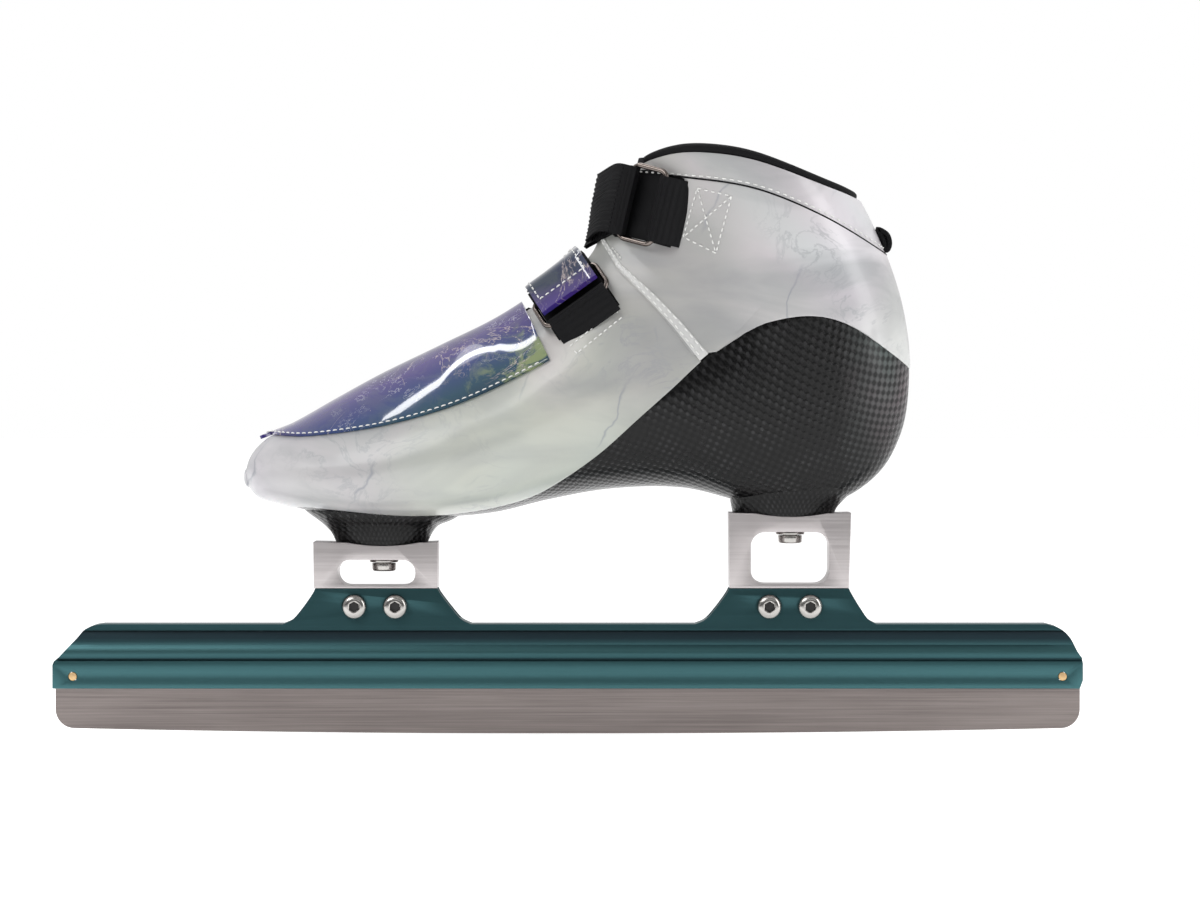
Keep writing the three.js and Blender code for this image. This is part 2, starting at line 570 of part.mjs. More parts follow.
// the point where the skin, moved by offset, meets a side-view line raised by lift, at one angle round the leg
function skinOnLine(line, lift, angle, offset) {
  let low = 0.8;
  let high = 1;
  for (let i = 0; i < 24; i += 1) {
    const middle = (low + high) / 2;
    const point = bootPoint(middle, angle, offset);
    if (point.z < heightOn(line, point.x) + lift) low = middle;
    else high = middle;
  }
  return bootPoint(low, angle, offset);
}

function makeBinding() {
  const offset = -(leather + liningOuter + liningThickness) / 2;
  const steps = 26;
  const open = 0.62;
  const path = Array.from({ length: steps + 1 }, (_, i) =>
    skinOnLine(collarEdge, binding / 2 + bindingLift, open + (2 * Math.PI - 2 * open) * i / steps, offset));
  const rings = path.map((point, i) => {
    const tangent = path[Math.min(i + 1, steps)].clone().sub(path[Math.max(i - 1, 0)]).normalize();
    const sideways = new THREE.Vector3(0, 0, 1).cross(tangent).normalize();
    const up = tangent.clone().cross(sideways);
    return Array.from({ length: 8 }, (_, k) => {
      const angle = k / 8 * 2 * Math.PI;
      return point.clone().addScaledVector(sideways, binding * 0.62 * Math.cos(angle))
        .addScaledVector(up, binding / 2 * Math.sin(angle));
    });
  });
  return loft(rings);
}
bootPart('collar_binding', makeBinding(), blackFabric);

// ---- lace cover ----
const coverOutline = [[-124.6, 126.4], ...smooth([[-123.1, 124.7], [-98.9, 124.9], [-77.6, 128.1], [-60.6, 132.3],
  [-43.6, 137.9], [-26.6, 145.5], [-9.4, 154.3]], 14), [-21.4, 179], [-30, 200], [-124.6, 160]];
bootPart('lace_cover', bootVolume(gap + coverThickness).subtract(bootVolume(gap + 0.1))
  .intersect(acrossY(coverOutline, -reach, reach)), patent);

// ---- straps ----
// a buckle sits at a side-view point with its long side along (acrossX, acrossZ) and the strap running off
// to the fold on one side and the sewn loop on the other
function buckleFrame({ x, z, acrossX, acrossZ }) {
  const place = findSkin(x, z);
  const normal = skinNormal(place.u, place.angle);
  const long = new THREE.Vector3(acrossX, 0, acrossZ);
  long.addScaledVector(normal, -long.dot(normal)).normalize();
  const run = long.clone().cross(normal).normalize();
  if (run.z > 0) run.negate();
  return { origin: bootPoint(place.u, place.angle, 0), normal, long, run };
}

function placed(geometry, frame, lift) {
  const matrix = new THREE.Matrix4().makeBasis(frame.run, frame.long, frame.run.clone().cross(frame.long));
  const out = frame.run.clone().cross(frame.long).dot(frame.normal) > 0 ? 1 : -1;
  geometry.scale(1, 1, out);
  if (out < 0) {
    const index = geometry.index.array;
    for (let t = 0; t < index.length; t += 3) [index[t], index[t + 1]] = [index[t + 1], index[t]];
  }
  geometry.applyMatrix4(matrix);
  const origin = frame.origin.clone().addScaledVector(frame.normal, lift);
  geometry.translate(origin.x, origin.y, origin.z);
  return toSolid(geometry);
}

// a wire ring with round corners, lying in its own x (width) and y (length) plane
function ringGeometry() {
  const middle = roundedRectangle(0, 0, ring.width, ring.length, ring.round, 3);
  const torus = new THREE.TorusGeometry(1, 0.5, 8, middle.length);
  const position = torus.attributes.position;
  for (let j = 0; j <= 8; j += 1) {
    for (let i = 0; i <= middle.length; i += 1) {
      const [cx, cy] = middle[i % middle.length];
      const [ax, ay] = middle[(i + middle.length - 1) % middle.length];
      const [bx, by] = middle[(i + 1) % middle.length];
      const out = new THREE.Vector2(by - ay, ax - bx).normalize();
      const angle = j / 8 * 2 * Math.PI;
      const spread = ring.wire / 2 * Math.cos(angle);
      const k = j * (middle.length + 1) + i;
      position.setXYZ(k, cx + out.x * spread, cy + out.y * spread, ring.wire / 2 * Math.sin(angle));
    }
  }
  return mergeClean(torus);
}

function mergeClean(geometry) {
  geometry.deleteAttribute('normal');
  geometry.deleteAttribute('uv');
  return mergeVertices(geometry, 1e-4);
}

// a flat webbing loop round one long bar of the ring; tail is how far it runs on from that bar
function loopGeometry(tail, wide) {
  const inner = ring.wire / 2 + gap;
  const outer = inner + webbing.thickness;
  const arc = (radius, from, to) => Array.from({ length: 7 }, (_, i) => {
    const angle = from + (to - from) * i / 6;
    return [radius * Math.cos(angle), radius * Math.sin(angle)];
  });
  const shape = shapeOf([...arc(outer, Math.PI / 2, 1.5 * Math.PI), [tail, -outer], [tail, outer * 0.2]]);
  shape.holes.push(new THREE.Path([...arc(inner, Math.PI / 2, 1.5 * Math.PI), [tail - 2, -inner],
    [tail - 2, -inner + 0.6]].map(([a, b]) => new THREE.Vector2(a, b))));
  const geometry = new THREE.ExtrudeGeometry(shape, { depth: wide, bevelEnabled: false });
  geometry.rotateX(Math.PI / 2);
  geometry.translate(0, wide / 2, 0);
  return mergeClean(geometry);
}

const stripLength = { near: 60, far: 26 };

// the side-view strip that a strap covers, from run = from to run = to
function strip({ x, z, acrossX, acrossZ }, wide, from, to) {
  const run = [acrossZ, -acrossX];
  const corner = (along, side) => [x + run[0] * along + acrossX * side * wide / 2,
    z + run[1] * along + acrossZ * side * wide / 2];
  return [corner(from, -1), corner(from, 1), corner(to, 1), corner(to, -1)];
}

const layer = (from, to) => bootVolume(to).subtract(bootVolume(from));
const buckles = {
  vamp: { x: 3.4, z: 180, acrossX: 0.835, acrossZ: 0.55, tab: patent, wide: 27, tail: 9.6 },
  ankle: { x: 33.6, z: 219.8, acrossX: 0.27, acrossZ: 0.963, tab: blackFabric, wide: 29, tail: 10.4 },
};
const strapLayer = { from: 0.6, to: 2.1 };
const tabLayer = { from: 3.1, to: 5.6 };

for (const [name, buckle] of Object.entries(buckles)) {
  const frame = buckleFrame(buckle);
  bootPart(`${name}_ring`, placed(ringGeometry(), frame, ring.lift), ringMetal);
  const loop = loopGeometry(buckle.tail, webbing.width - 3);
  bootPart(`${name}_ring_loop`, placed(loop.translate(ring.width / 2, 0, 0), frame, ring.lift), blackFabric);
  const start = -ring.width / 2 - ring.wire - gap;
  const near = acrossY(strip(buckle, webbing.width, -stripLength.near, start), -reach, 0.5);
  const far = acrossY(strip(buckle, webbing.width, -stripLength.near, stripLength.far), 0, reach);
  bootPart(`${name}_strap`, layer(strapLayer.from, strapLayer.to).intersect(near.add(far)), blackFabric);
  const tab = acrossY(strip(buckle, buckle.wide, -stripLength.near, start - 1), -reach, 16);
  bootPart(name === 'vamp' ? 'vamp_strap_tab' : 'ankle_strap_tail',
    layer(tabLayer.from, tabLayer.to).intersect(tab), buckle.tab);
}

// ---- heel pull loop ----
const pull = { x: 133.9, z: 206.3, length: 8.5, depth: 5.4, wall: 1.2, width: 10, tilt: 0.42 };
const pullOuter = roundedRectangle(0, 0, pull.depth, pull.length, 2.4, 3);
const pullInner = roundedRectangle(0, 0, pull.depth - 2 * pull.wall, pull.length - 2 * pull.wall, 1.3, 3);
const tilted = (points) => points.map(([a, b]) => [
  pull.x + a * Math.cos(pull.tilt) - b * Math.sin(pull.tilt), pull.z + a * Math.sin(pull.tilt) + b * Math.cos(pull.tilt)]);
bootPart('heel_loop', acrossY(tilted(pullOuter), -pull.width / 2, pull.width / 2)
  .subtract(acrossY(tilted(pullInner), -pull.width, pull.width)), blackFabric);

export default skate;
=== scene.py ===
import bpy
import math
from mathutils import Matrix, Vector


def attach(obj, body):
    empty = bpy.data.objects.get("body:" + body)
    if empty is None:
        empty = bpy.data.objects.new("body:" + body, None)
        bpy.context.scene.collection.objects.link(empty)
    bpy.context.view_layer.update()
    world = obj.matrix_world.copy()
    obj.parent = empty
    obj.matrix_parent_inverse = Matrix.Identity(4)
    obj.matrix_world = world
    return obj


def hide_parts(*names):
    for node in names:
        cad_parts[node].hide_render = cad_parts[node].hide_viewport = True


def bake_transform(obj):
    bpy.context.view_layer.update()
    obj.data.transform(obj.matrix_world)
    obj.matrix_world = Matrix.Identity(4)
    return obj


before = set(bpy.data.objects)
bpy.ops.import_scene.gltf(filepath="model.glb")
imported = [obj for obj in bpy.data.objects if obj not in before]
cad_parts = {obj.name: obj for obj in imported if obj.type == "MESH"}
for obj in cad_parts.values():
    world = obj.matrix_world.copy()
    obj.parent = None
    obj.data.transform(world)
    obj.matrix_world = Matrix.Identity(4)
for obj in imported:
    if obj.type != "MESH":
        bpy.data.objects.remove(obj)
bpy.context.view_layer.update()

mm = 0.001
turn = 2 * math.pi
tubeShape = {"end": 215, "bottom": 18.9, "top": 46.0, "peak": 60.9, "pinX": 206.5, "pinZ": 24.0,
             "clampZ": 53.3, "clampHole": 6.6, "pinHole": 3.9}


# ---------- camera, light and floor ----------
studio = {"cameraPlace": (0.0135, -2.40, 0.150), "cameraAim": (0.0135, 0.0, 0.1176), "lens": 172.4,
          "worldLow": 0.10, "worldHigh": 0.75, "worldRise": 0.8, "worldReach": 0.7}
# each light: its place, the point it looks at, its two sides and its power
lights = {"keyLight": ((-0.7, -0.7, 1.0), (0, 0, 0.12), (0.9, 0.6), 7.0),
          "fillLight": ((0.1, -1.9, 0.9), (0, 0, 0.10), (1.6, 0.5), 1.6),
          "rimLight": ((0.9, -0.35, 0.45), (0.05, 0, 0.13), (0.25, 0.8), 2.6),
          "topLight": ((0.1, 0.5, 1.2), (0, 0, 0.1), (1.2, 0.7), 6.0),
          "stripLight": ((-0.42, 0.20, 0.98), (-0.05, 0, 0.16), (0.42, 0.045), 0.6)}


def pointAt(thing, aim):
    direction = Vector(aim) - Vector(thing.location)
    thing.rotation_euler = direction.to_track_quat("-Z", "Y").to_euler()


def softLight(name, place, aim, size, power):
    data = bpy.data.lights.new(name, "AREA")
    data.shape = "RECTANGLE"
    data.size, data.size_y = size
    data.energy = power
    light = bpy.data.objects.new(name, data)
    light.location = place
    pointAt(light, aim)
    bpy.context.scene.collection.objects.link(light)


def makeSurround():
    # white to the camera; as a light it is bright overhead and behind, and dim in front
    world = bpy.data.worlds.new("studioWorld")
    world.use_nodes = True
    tree = world.node_tree
    background = tree.nodes["Background"]
    background.inputs["Color"].default_value = (1.0, 1.0, 1.0, 1)
    spot = tree.nodes.new("ShaderNodeTexCoord")
    split = tree.nodes.new("ShaderNodeSeparateXYZ")
    tree.links.new(spot.outputs["Generated"], split.inputs[0])
    rising = tree.nodes.new("ShaderNodeMath")
    rising.operation = "MULTIPLY_ADD"
    rising.inputs[1].default_value = studio["worldRise"]
    tree.links.new(split.outputs["Z"], rising.inputs[0])
    tree.links.new(split.outputs["Y"], rising.inputs[2])
    spread = tree.nodes.new("ShaderNodeMapRange")
    tree.links.new(rising.outputs[0], spread.inputs["Value"])
    spread.inputs["From Min"].default_value = -studio["worldReach"]
    spread.inputs["From Max"].default_value = studio["worldReach"]
    spread.inputs["To Min"].default_value = studio["worldLow"]
    spread.inputs["To Max"].default_value = studio["worldHigh"]
    rays = tree.nodes.new("ShaderNodeLightPath")
    seen = tree.nodes.new("ShaderNodeMath")
    seen.operation = "MAXIMUM"
    tree.links.new(spread.outputs[0], seen.inputs[0])
    tree.links.new(rays.outputs["Is Camera Ray"], seen.inputs[1])
    tree.links.new(seen.outputs[0], background.inputs["Strength"])
    bpy.context.scene.world = world


def makeStudio():
    data = bpy.data.cameras.new("camera")
    data.lens = studio["lens"]
    data.clip_end = 20
    camera = bpy.data.objects.new("camera", data)
    camera.location = studio["cameraPlace"]
    pointAt(camera, studio["cameraAim"])
    bpy.context.scene.collection.objects.link(camera)
    bpy.context.scene.camera = camera
    for name, settings in lights.items():
        softLight(name, *settings)
    makeSurround()
    bpy.context.scene.view_settings.view_transform = "Standard"
    print("studio ready")


makeStudio()


# ---------- shader maths ----------
class Wave:
    def __init__(self, paint, socket):
        self.paint = paint
        self.socket = socket

    def maths(self, operation, first, second=0.0):
        return self.paint.node("ShaderNodeMath", {"operation": operation}, {0: first, 1: second})

    def __add__(self, other):
        return self.maths("ADD", self, other)

    __radd__ = __add__

    def __mul__(self, other):
        return self.maths("MULTIPLY", self, other)

    __rmul__ = __mul__

    def __sub__(self, other):
        return self.maths("SUBTRACT", self, other)

    def __rsub__(self, other):
        return self.maths("SUBTRACT", other, self)

    def sine(self):
        return self.maths("SINE", self)

    def size(self):
        return self.maths("ABSOLUTE", self)


class Paint:
    def __init__(self, name):
        self.material = bpy.data.materials.new(name)
        self.material.use_nodes = True
        self.tree = self.material.node_tree
        self.shader = self.tree.nodes["Principled BSDF"]

    def node(self, kind, settings=None, inputs=None, out=0):
        node = self.tree.nodes.new(kind)
        for key, value in (settings or {}).items():
            if key == "stops":
                ramp = node.color_ramp
                while len(ramp.elements) < len(value):
                    ramp.elements.new(0.5)
                for element, (place, colour) in zip(ramp.elements, value):
                    element.position = place
                    element.color = (*colour, 1)
            else:
                setattr(node, key, value)
        for key, value in (inputs or {}).items():
            if isinstance(value, Wave):
                self.tree.links.new(value.socket, node.inputs[key])
            else:
                node.inputs[key].default_value = value
        return Wave(self, node.outputs[out])

    def noise(self, scale, stretch=(1, 1, 1), detail=3.0, rough=0.5, twist=0.0):
        spot = self.node("ShaderNodeTexCoord", out="Object")
        place = self.node("ShaderNodeMapping", None, {"Vector": spot, "Scale": stretch})
        return self.node("ShaderNodeTexNoise", None, {"Vector": place, "Scale": scale, "Detail": detail,
                                                      "Roughness": rough, "Distortion": twist})

    def ramp(self, factor, *stops):
        return self.node("ShaderNodeValToRGB", {"stops": stops}, {"Fac": factor})

    def fade(self, factor, low, high):
        return self.node("ShaderNodeMapRange", {"clamp": True},
                         {"Value": factor, "From Min": low, "From Max": high})

    def blend(self, factor, first, second):
        first = (*first, 1) if isinstance(first, tuple) else first
        second = (*second, 1) if isinstance(second, tuple) else second
        return self.node("ShaderNodeMix", {"data_type": "RGBA"}, {0: factor, 6: first, 7: second}, 2)

    def bump(self, height, distance, strength, under=None):
        inputs = {"Height": height, "Distance": distance, "Strength": strength}
        if under:
            inputs["Normal"] = under
        return self.node("ShaderNodeBump", None, inputs)

    def axis(self, index, source="Object"):
        spot = self.node("ShaderNodeTexCoord", out=source)
        return self.node("ShaderNodeSeparateXYZ", None, {"Vector": spot}, index)

    def finish(self, **values):
        for key, value in values.items():
            socket = self.shader.inputs[key.replace("_", " ")]
            if isinstance(value, Wave):
                self.tree.links.new(value.socket, socket)
            else:
                socket.default_value = (*value, 1) if isinstance(value, tuple) else value
        return self.material


# ---------- finishes ----------
leatherTones = [(-0.134, (0.60, 0.58, 0.61)), (-0.10, (0.46, 0.46, 0.455)), (-0.05, (0.47, 0.48, 0.43)),
                (0.0, (0.40, 0.41, 0.36)), (0.035, (0.30, 0.31, 0.285)), (0.062, (0.31, 0.32, 0.30)),
                (0.088, (0.50, 0.49, 0.49)), (0.115, (0.66, 0.63, 0.66)), (0.14, (0.62, 0.62, 0.61))]


def makePearlLeather(name, paleness):
    paint = Paint(name)
    toe, heel = leatherTones[0][0], leatherTones[-1][0]
    cloud = paint.noise(16, detail=2)
    hue = paint.noise(11, detail=1, twist=0.6)
    tint = paint.ramp(hue, (0.30, (0.50, 0.58, 0.54)), (0.43, (0.60, 0.62, 0.57)), (0.54, (0.68, 0.59, 0.66)),
                      (0.66, (0.56, 0.64, 0.64)), (0.78, (0.68, 0.56, 0.66)))
    spot = (paint.axis(0) - toe + (cloud - 0.5) * 0.04) * (1 / (heel - toe))
    tone = paint.ramp(spot, *[((x - toe) / (heel - toe), colour) for x, colour in leatherTones])
    shade = paint.blend(paint.fade(cloud, 0.35, 0.75) * 0.35 + 0.65, tint, tone)
    drift = paint.fade(paint.noise(22, stretch=(0.5, 1, 1.4), detail=4, twist=0.8), 0.46, 0.66)
    clouded = paint.blend(drift * 0.6, shade, (0.25, 0.26, 0.27))
    slant = paint.axis(0) * 0.9 - paint.axis(2) * 0.45 + (paint.noise(30, detail=4) - 0.5) * 0.03
    breaks = paint.fade(paint.noise(25, detail=2), 0.50, 0.60)
    crack = (1 - paint.fade((slant * 75).sine().size(), 0.0, 0.06)) * breaks
    cracked = paint.blend(crack * 0.6, clouded, (0.18, 0.20, 0.24))
    wander = paint.noise(38, stretch=(1, 1, 1.3), detail=6, rough=0.62, twist=1.4)
    vein = 1 - paint.fade((wander - 0.5).size(), 0.0, 0.03)
    patch = paint.fade(paint.noise(21, detail=2), 0.50, 0.64)
    veined = paint.blend(vein * patch * 0.55, cracked, (0.28, 0.29, 0.31))
    pale = paint.blend(paleness, veined, (0.84, 0.84, 0.83))
    grain = paint.noise(2400, detail=2)
    crease = paint.noise(110, detail=3)
    relief = paint.bump(grain, 0.00004, 0.5, paint.bump(crease, 0.0005, 0.35))
    return paint.finish(Base_Color=pale, Roughness=paint.fade(cloud, 0.1, 0.9) * 0.14 + 0.26, Normal=relief,
                        Coat_Weight=0.3, Coat_Roughness=0.14)


def makePatent():
    paint = Paint("marbledPatent")
    lift = paint.axis(2) - paint.axis(0) * 0.45
    cloud = paint.noise(20, detail=3, twist=0.8)
    level = paint.fade(lift, 0.156, 0.192) + (cloud - 0.5) * 0.55
    base = paint.ramp(level, (0.0, (0.006, 0.030, 0.055)), (0.25, (0.006, 0.050, 0.090)),
                      (0.50, (0.014, 0.035, 0.150)), (0.75, (0.045, 0.022, 0.170)),
                      (0.88, (0.036, 0.018, 0.130)), (1.0, (0.007, 0.016, 0.055)))
    rear = paint.fade(paint.axis(0), -0.050, -0.018) * (1 - paint.fade(lift, 0.168, 0.182))
    moss = paint.fade(paint.noise(75, detail=6, rough=0.7, twist=1.0), 0.48, 0.60)
    greened = paint.blend(moss * (rear * 0.85 + 0.08), base, (0.22, 0.27, 0.12))
    wander = paint.noise(22, detail=6, rough=0.62, twist=1.6)
    vein = 1 - paint.fade((wander - 0.5).size(), 0.0005, 0.009)
    breaks = paint.fade(paint.noise(34, detail=3), 0.46, 0.58)
    veined = paint.blend(vein * breaks * 0.75, greened, (0.50, 0.42, 0.40))
    fine = 1 - paint.fade((paint.noise(60, detail=5, rough=0.7, twist=1.5) - 0.5).size(), 0.0, 0.010)
    flecks = paint.fade(paint.noise(45, detail=2), 0.52, 0.62)
    streaked = paint.blend(fine * flecks * 0.7, veined, (0.62, 0.62, 0.66))
    relief = paint.bump(paint.noise(60, detail=1), 0.0004, 0.2)
    return paint.finish(Base_Color=streaked, Roughness=cloud * 0.05 + 0.05, Normal=relief, Coat_Weight=0.8,
                        Coat_Roughness=0.02, Specular_IOR_Level=0.35)


def makeCarbon():
    paint = Paint("carbonWeave")
    across = paint.axis(0, "UV") * (turn / 0.0032)
    along = paint.axis(1, "UV") * (turn / 0.0050)
    cell = across.sine() * along.sine()
    thread = (across * 6).sine() * 0.5 + 0.5
    tow = paint.fade(cell, -0.5, 0.5)
    # painted highlight: bright glints laid on the tows in the base colour
    glint = paint.fade(cell, 0.25, 0.8) * paint.fade(paint.noise(90, detail=3), 0.40, 0.68)
    shade = paint.blend(tow, (0.0007, 0.0007, 0.0009), (0.0050, 0.0049, 0.0052))
    glinted = paint.blend(glint * 0.45, shade, (0.055, 0.055, 0.058))
    # painted reflection: a mint and pink sheen blended into the weave at the upper heel
    heel = paint.fade(paint.axis(0), 0.112, 0.132) * paint.fade(paint.axis(2), 0.108, 0.140)
    sheen = paint.blend(paint.noise(40, detail=2), (0.10, 0.17, 0.15), (0.17, 0.11, 0.13))
    lit = paint.blend(heel * (tow * 0.5 + 0.1), glinted, sheen)
    wear = paint.noise(60, detail=3)
    relief = paint.bump(tow + thread * 0.15, 0.00026, 0.75)
    return paint.finish(Base_Color=lit, Roughness=0.22 + wear * 0.12, Normal=relief, Coat_Weight=0.16,
                        Coat_Roughness=0.10, Specular_IOR_Level=0.16)


def makeAnodised():
    paint = Paint("tealAnodised")
    cloud = paint.noise(14, detail=2)
    lines = paint.noise(1.0, stretch=(6, 900, 1500), detail=2)
    # from the tube's foot to the pedestals' tops, bands of painted shade and painted light: painted shade in
    # the dark cove between shares of 0.45 and 0.585, a painted shadow line near 0.29 and a lighter painted
    # band near 0.38
    level = paint.fade(paint.axis(2), tubeShape["bottom"] * mm, tubeShape["peak"] * mm)
    shadedBands = paint.ramp(level, (0.0, (0.052, 0.140, 0.152)), (0.26, (0.042, 0.115, 0.126)),
                        (0.29, (0.010, 0.030, 0.036)), (0.32, (0.030, 0.085, 0.095)),
                        (0.38, (0.050, 0.130, 0.140)), (0.44, (0.028, 0.075, 0.084)),
                        (0.50, (0.007, 0.016, 0.022)), (0.578, (0.005, 0.010, 0.015)),
                        (0.59, (0.032, 0.085, 0.095)), (1.0, (0.030, 0.080, 0.088)))
    shade = paint.blend(cloud * 0.12, shadedBands, (0.040, 0.100, 0.110))
    return paint.finish(Base_Color=shade, Metallic=0.85, Roughness=0.30 + lines * 0.16,
                        Normal=paint.bump(lines, 0.00003, 0.6))


def makeBrushed(name, dark, light, rough, grain):
    paint = Paint(name)
    fine = paint.noise(1.0, stretch=(14, 700, grain), detail=4, rough=0.6)
    cloud = paint.noise(1.0, stretch=(9, 30, 60), detail=3)
    shade = paint.blend(paint.fade(fine * 0.6 + cloud * 0.4, 0.3, 0.7), dark, light)
    return paint.finish(Base_Color=shade, Metallic=0.9, Roughness=fine * 0.22 + rough,
                        Normal=paint.bump(fine, 0.00005, 0.7))


def makePolished(name, colour, rough):
    paint = Paint(name)
    smear = paint.noise(220, detail=3)
    shade = paint.blend(smear, colour, tuple(0.8 * part for part in colour))
    return paint.finish(Base_Color=shade, Metallic=1.0, Roughness=smear * 0.12 + rough,
                        Normal=paint.bump(paint.noise(300, detail=1), 0.000006, 0.3))


def makeTextile(name, colour, pitch, depth, rough):
    paint = Paint(name)
    across = (paint.axis(0, "UV") * (turn / pitch)).sine()
    along = (paint.axis(1, "UV") * (turn / pitch)).sine()
    knit = across * along
    lint = paint.noise(700, detail=3)
    light = tuple(min(1.0, part * 2.2 + 0.001) for part in colour)
    shade = paint.blend(paint.fade(knit + lint * 0.8, -0.6, 1.5), colour, light)
    return paint.finish(Base_Color=shade, Roughness=lint * 0.2 + rough, Normal=paint.bump(knit, depth, 0.8),
                        Specular_IOR_Level=0.12)


def makeThread(name, colour):
    paint = Paint(name)
    twist = paint.noise(2500, detail=2)
    shade = paint.blend(twist, colour, tuple(0.7 * part for part in colour))
    return paint.finish(Base_Color=shade, Roughness=twist * 0.2 + 0.5, Normal=paint.bump(twist, 0.00006, 0.8))


def makeFloorPaint():
    paint = Paint("paleFloor")
    cloud = paint.noise(3, detail=2)
    shade = paint.blend(cloud, (0.90, 0.90, 0.90), (0.93, 0.93, 0.93))
    return paint.finish(Base_Color=shade, Roughness=0.75, Emission_Color=(1.0, 1.0, 1.0),
                        Emission_Strength=0.55)


pearlLeather = makePearlLeather("pearlLeather", 0.0)
tapeLeather = makePearlLeather("tapeLeather", 0.4)
patentFinish = makePatent()
carbonFinish = makeCarbon()
anodisedFinish = makeAnodised()
bladeFinish = makeBrushed("bladeSteel", (0.17, 0.145, 0.14), (0.36, 0.315, 0.30), 0.26, 1500)
cupFinish = makeBrushed("cupAluminium", (0.44, 0.41, 0.41), (0.60, 0.565, 0.565), 0.30, 1100)
polishedFinish = makePolished("polishedSteel", (0.50, 0.485, 0.465), 0.15)
brassFinish = makePolished("pinBrass", (0.80, 0.55, 0.29), 0.42)
ringFinish = makePolished("bronzeWire", (0.20, 0.170, 0.155), 0.12)
webbingFinish = makeTextile("ribbedWebbing", (0.003, 0.003, 0.0035), 0.0008, 0.00005, 0.45)
bindingFinish = makeTextile("edgeTape", (0.004, 0.004, 0.0045), 0.0010, 0.00008, 0.6)
liningFinish = makeTextile("liningMesh", (0.010, 0.010, 0.011), 0.0016, 0.0002, 0.8)
insoleFinish = makeTextile("insoleFelt", (0.030, 0.030, 0.033), 0.0012, 0.0001, 0.85)
threadFinish = makeThread("whiteThread", (0.86, 0.86, 0.84))
# a dark finish used as painted shade in the screw sockets
socketShadePaint = makeThread("socketShadow", (0.02, 0.02, 0.02))
print("finishes ready")


# ---------- mesh helpers ----------
def pick(*pieces):
    # selects these pieces alone, the first one as the active one
    bpy.ops.object.select_all(action="DESELECT")
    for piece in pieces:
        piece.select_set(True)
    bpy.context.view_layer.objects.active = pieces[0]


def editAll(piece, action, **settings):
    pick(piece)
    bpy.ops.object.mode_set(mode="EDIT")
    bpy.ops.mesh.select_all(action="SELECT")
    action(**settings)
    bpy.ops.object.mode_set(mode="OBJECT")


def gridPiece(name, rows, columns, place, finish, spans):
    # a flat grid whose points are laid on a surface; s runs over the rows and t over the columns
    bpy.ops.mesh.primitive_grid_add(x_subdivisions=columns, y_subdivisions=rows, size=1)
    piece = bpy.context.object
    piece.name = piece.data.name = name
    mesh = piece.data
    shares = [(min(max(v.co.y + 0.5, 0), 1), min(max(v.co.x + 0.5, 0), 1)) for v in mesh.vertices]
    for vertex, (s, t) in zip(mesh.vertices, shares):
        vertex.co = place(s, t)
    layer = mesh.uv_layers.active.data
    for loop in mesh.loops:
        s, t = shares[loop.vertex_index]
        layer[loop.index].uv = (t * spans[1], s * spans[0])
    mesh.materials.append(finish)
    return piece


def faceOutwards(piece, outside):
    # turns all faces over if most look the wrong way, seen along the function that gives the outward side
    mesh = piece.data
    votes = sum(1 if face.normal.dot(outside(face.center)) > 0 else -1 for face in mesh.polygons)
    if votes < 0:
        mesh.flip_normals()


def useModifier(piece, kind, **settings):
    pick(piece)
    modifier = piece.modifiers.new(kind.lower(), kind)
    for key, value in settings.items():
        setattr(modifier, key, value)
    bpy.ops.object.modifier_apply(modifier=modifier.name)


def mergeDoubles(piece, distance=0.00002):
    editAll(piece, bpy.ops.mesh.remove_doubles, threshold=distance)


def recalculate(piece):
    editAll(piece, bpy.ops.mesh.normals_make_consistent, inside=False)


def smoothShade(piece, angle):
    pick(piece)
    bpy.ops.object.shade_smooth_by_angle(angle=math.radians(angle))


def bevelEdges(piece, width, segments, angle):
    # rounds every edge sharper than this angle
    useModifier(piece, "BEVEL", width=width, segments=segments, limit_method="ANGLE",
                angle_limit=math.radians(angle))


def thicken(piece, thickness, edge, segments=2):
    useModifier(piece, "SOLIDIFY", thickness=thickness, offset=-1.0, use_even_offset=False)
    bevelEdges(piece, edge, segments, 50)
    smoothShade(piece, 60)


def joinPieces(name, parts):
    pick(*parts)
    bpy.ops.object.join()
    joined = bpy.context.object
    joined.name = joined.data.name = name
    return joined


def roundedBox(x, z, length, height, corner, steps=10):
    outline = []
    for sx, sz, quarter in ((1, 1, 0), (-1, 1, 1), (-1, -1, 2), (1, -1, 3)):
        for i in range(steps + 1):
            angle = (quarter + i / steps) * math.pi / 2
            outline.append((x + sx * (length / 2 - corner) + corner * math.cos(angle),
                            z + sz * (height / 2 - corner) + corner * math.sin(angle)))
    return outline


def meshPiece(name, points, faces, finish):
    mesh = bpy.data.meshes.new(name)
    mesh.from_pydata([tuple(point) for point in points], [], faces)
    mesh.uv_layers.new(name="UVMap")
    piece = bpy.data.objects.new(name, mesh)
    bpy.context.scene.collection.objects.link(piece)
    mesh.materials.append(finish)
    return piece


def stitchPiece(name, points, faces):
    stitches = meshPiece(name, points, faces, threadFinish)
    smoothShade(stitches, 60)
    return stitches


def fillSlot(piece, slot, *nodes):
    if nodes:
        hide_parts(*nodes)


def settle(piece, body, slot, *nodes):
    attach(piece, body)
    fillSlot(piece, slot, *nodes)


def settleBent(piece, body, start, end, slot, *nodes):
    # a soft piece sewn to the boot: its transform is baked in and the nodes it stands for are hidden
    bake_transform(piece)
    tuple(start)
    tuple(end)
    fillSlot(piece, slot, *nodes)


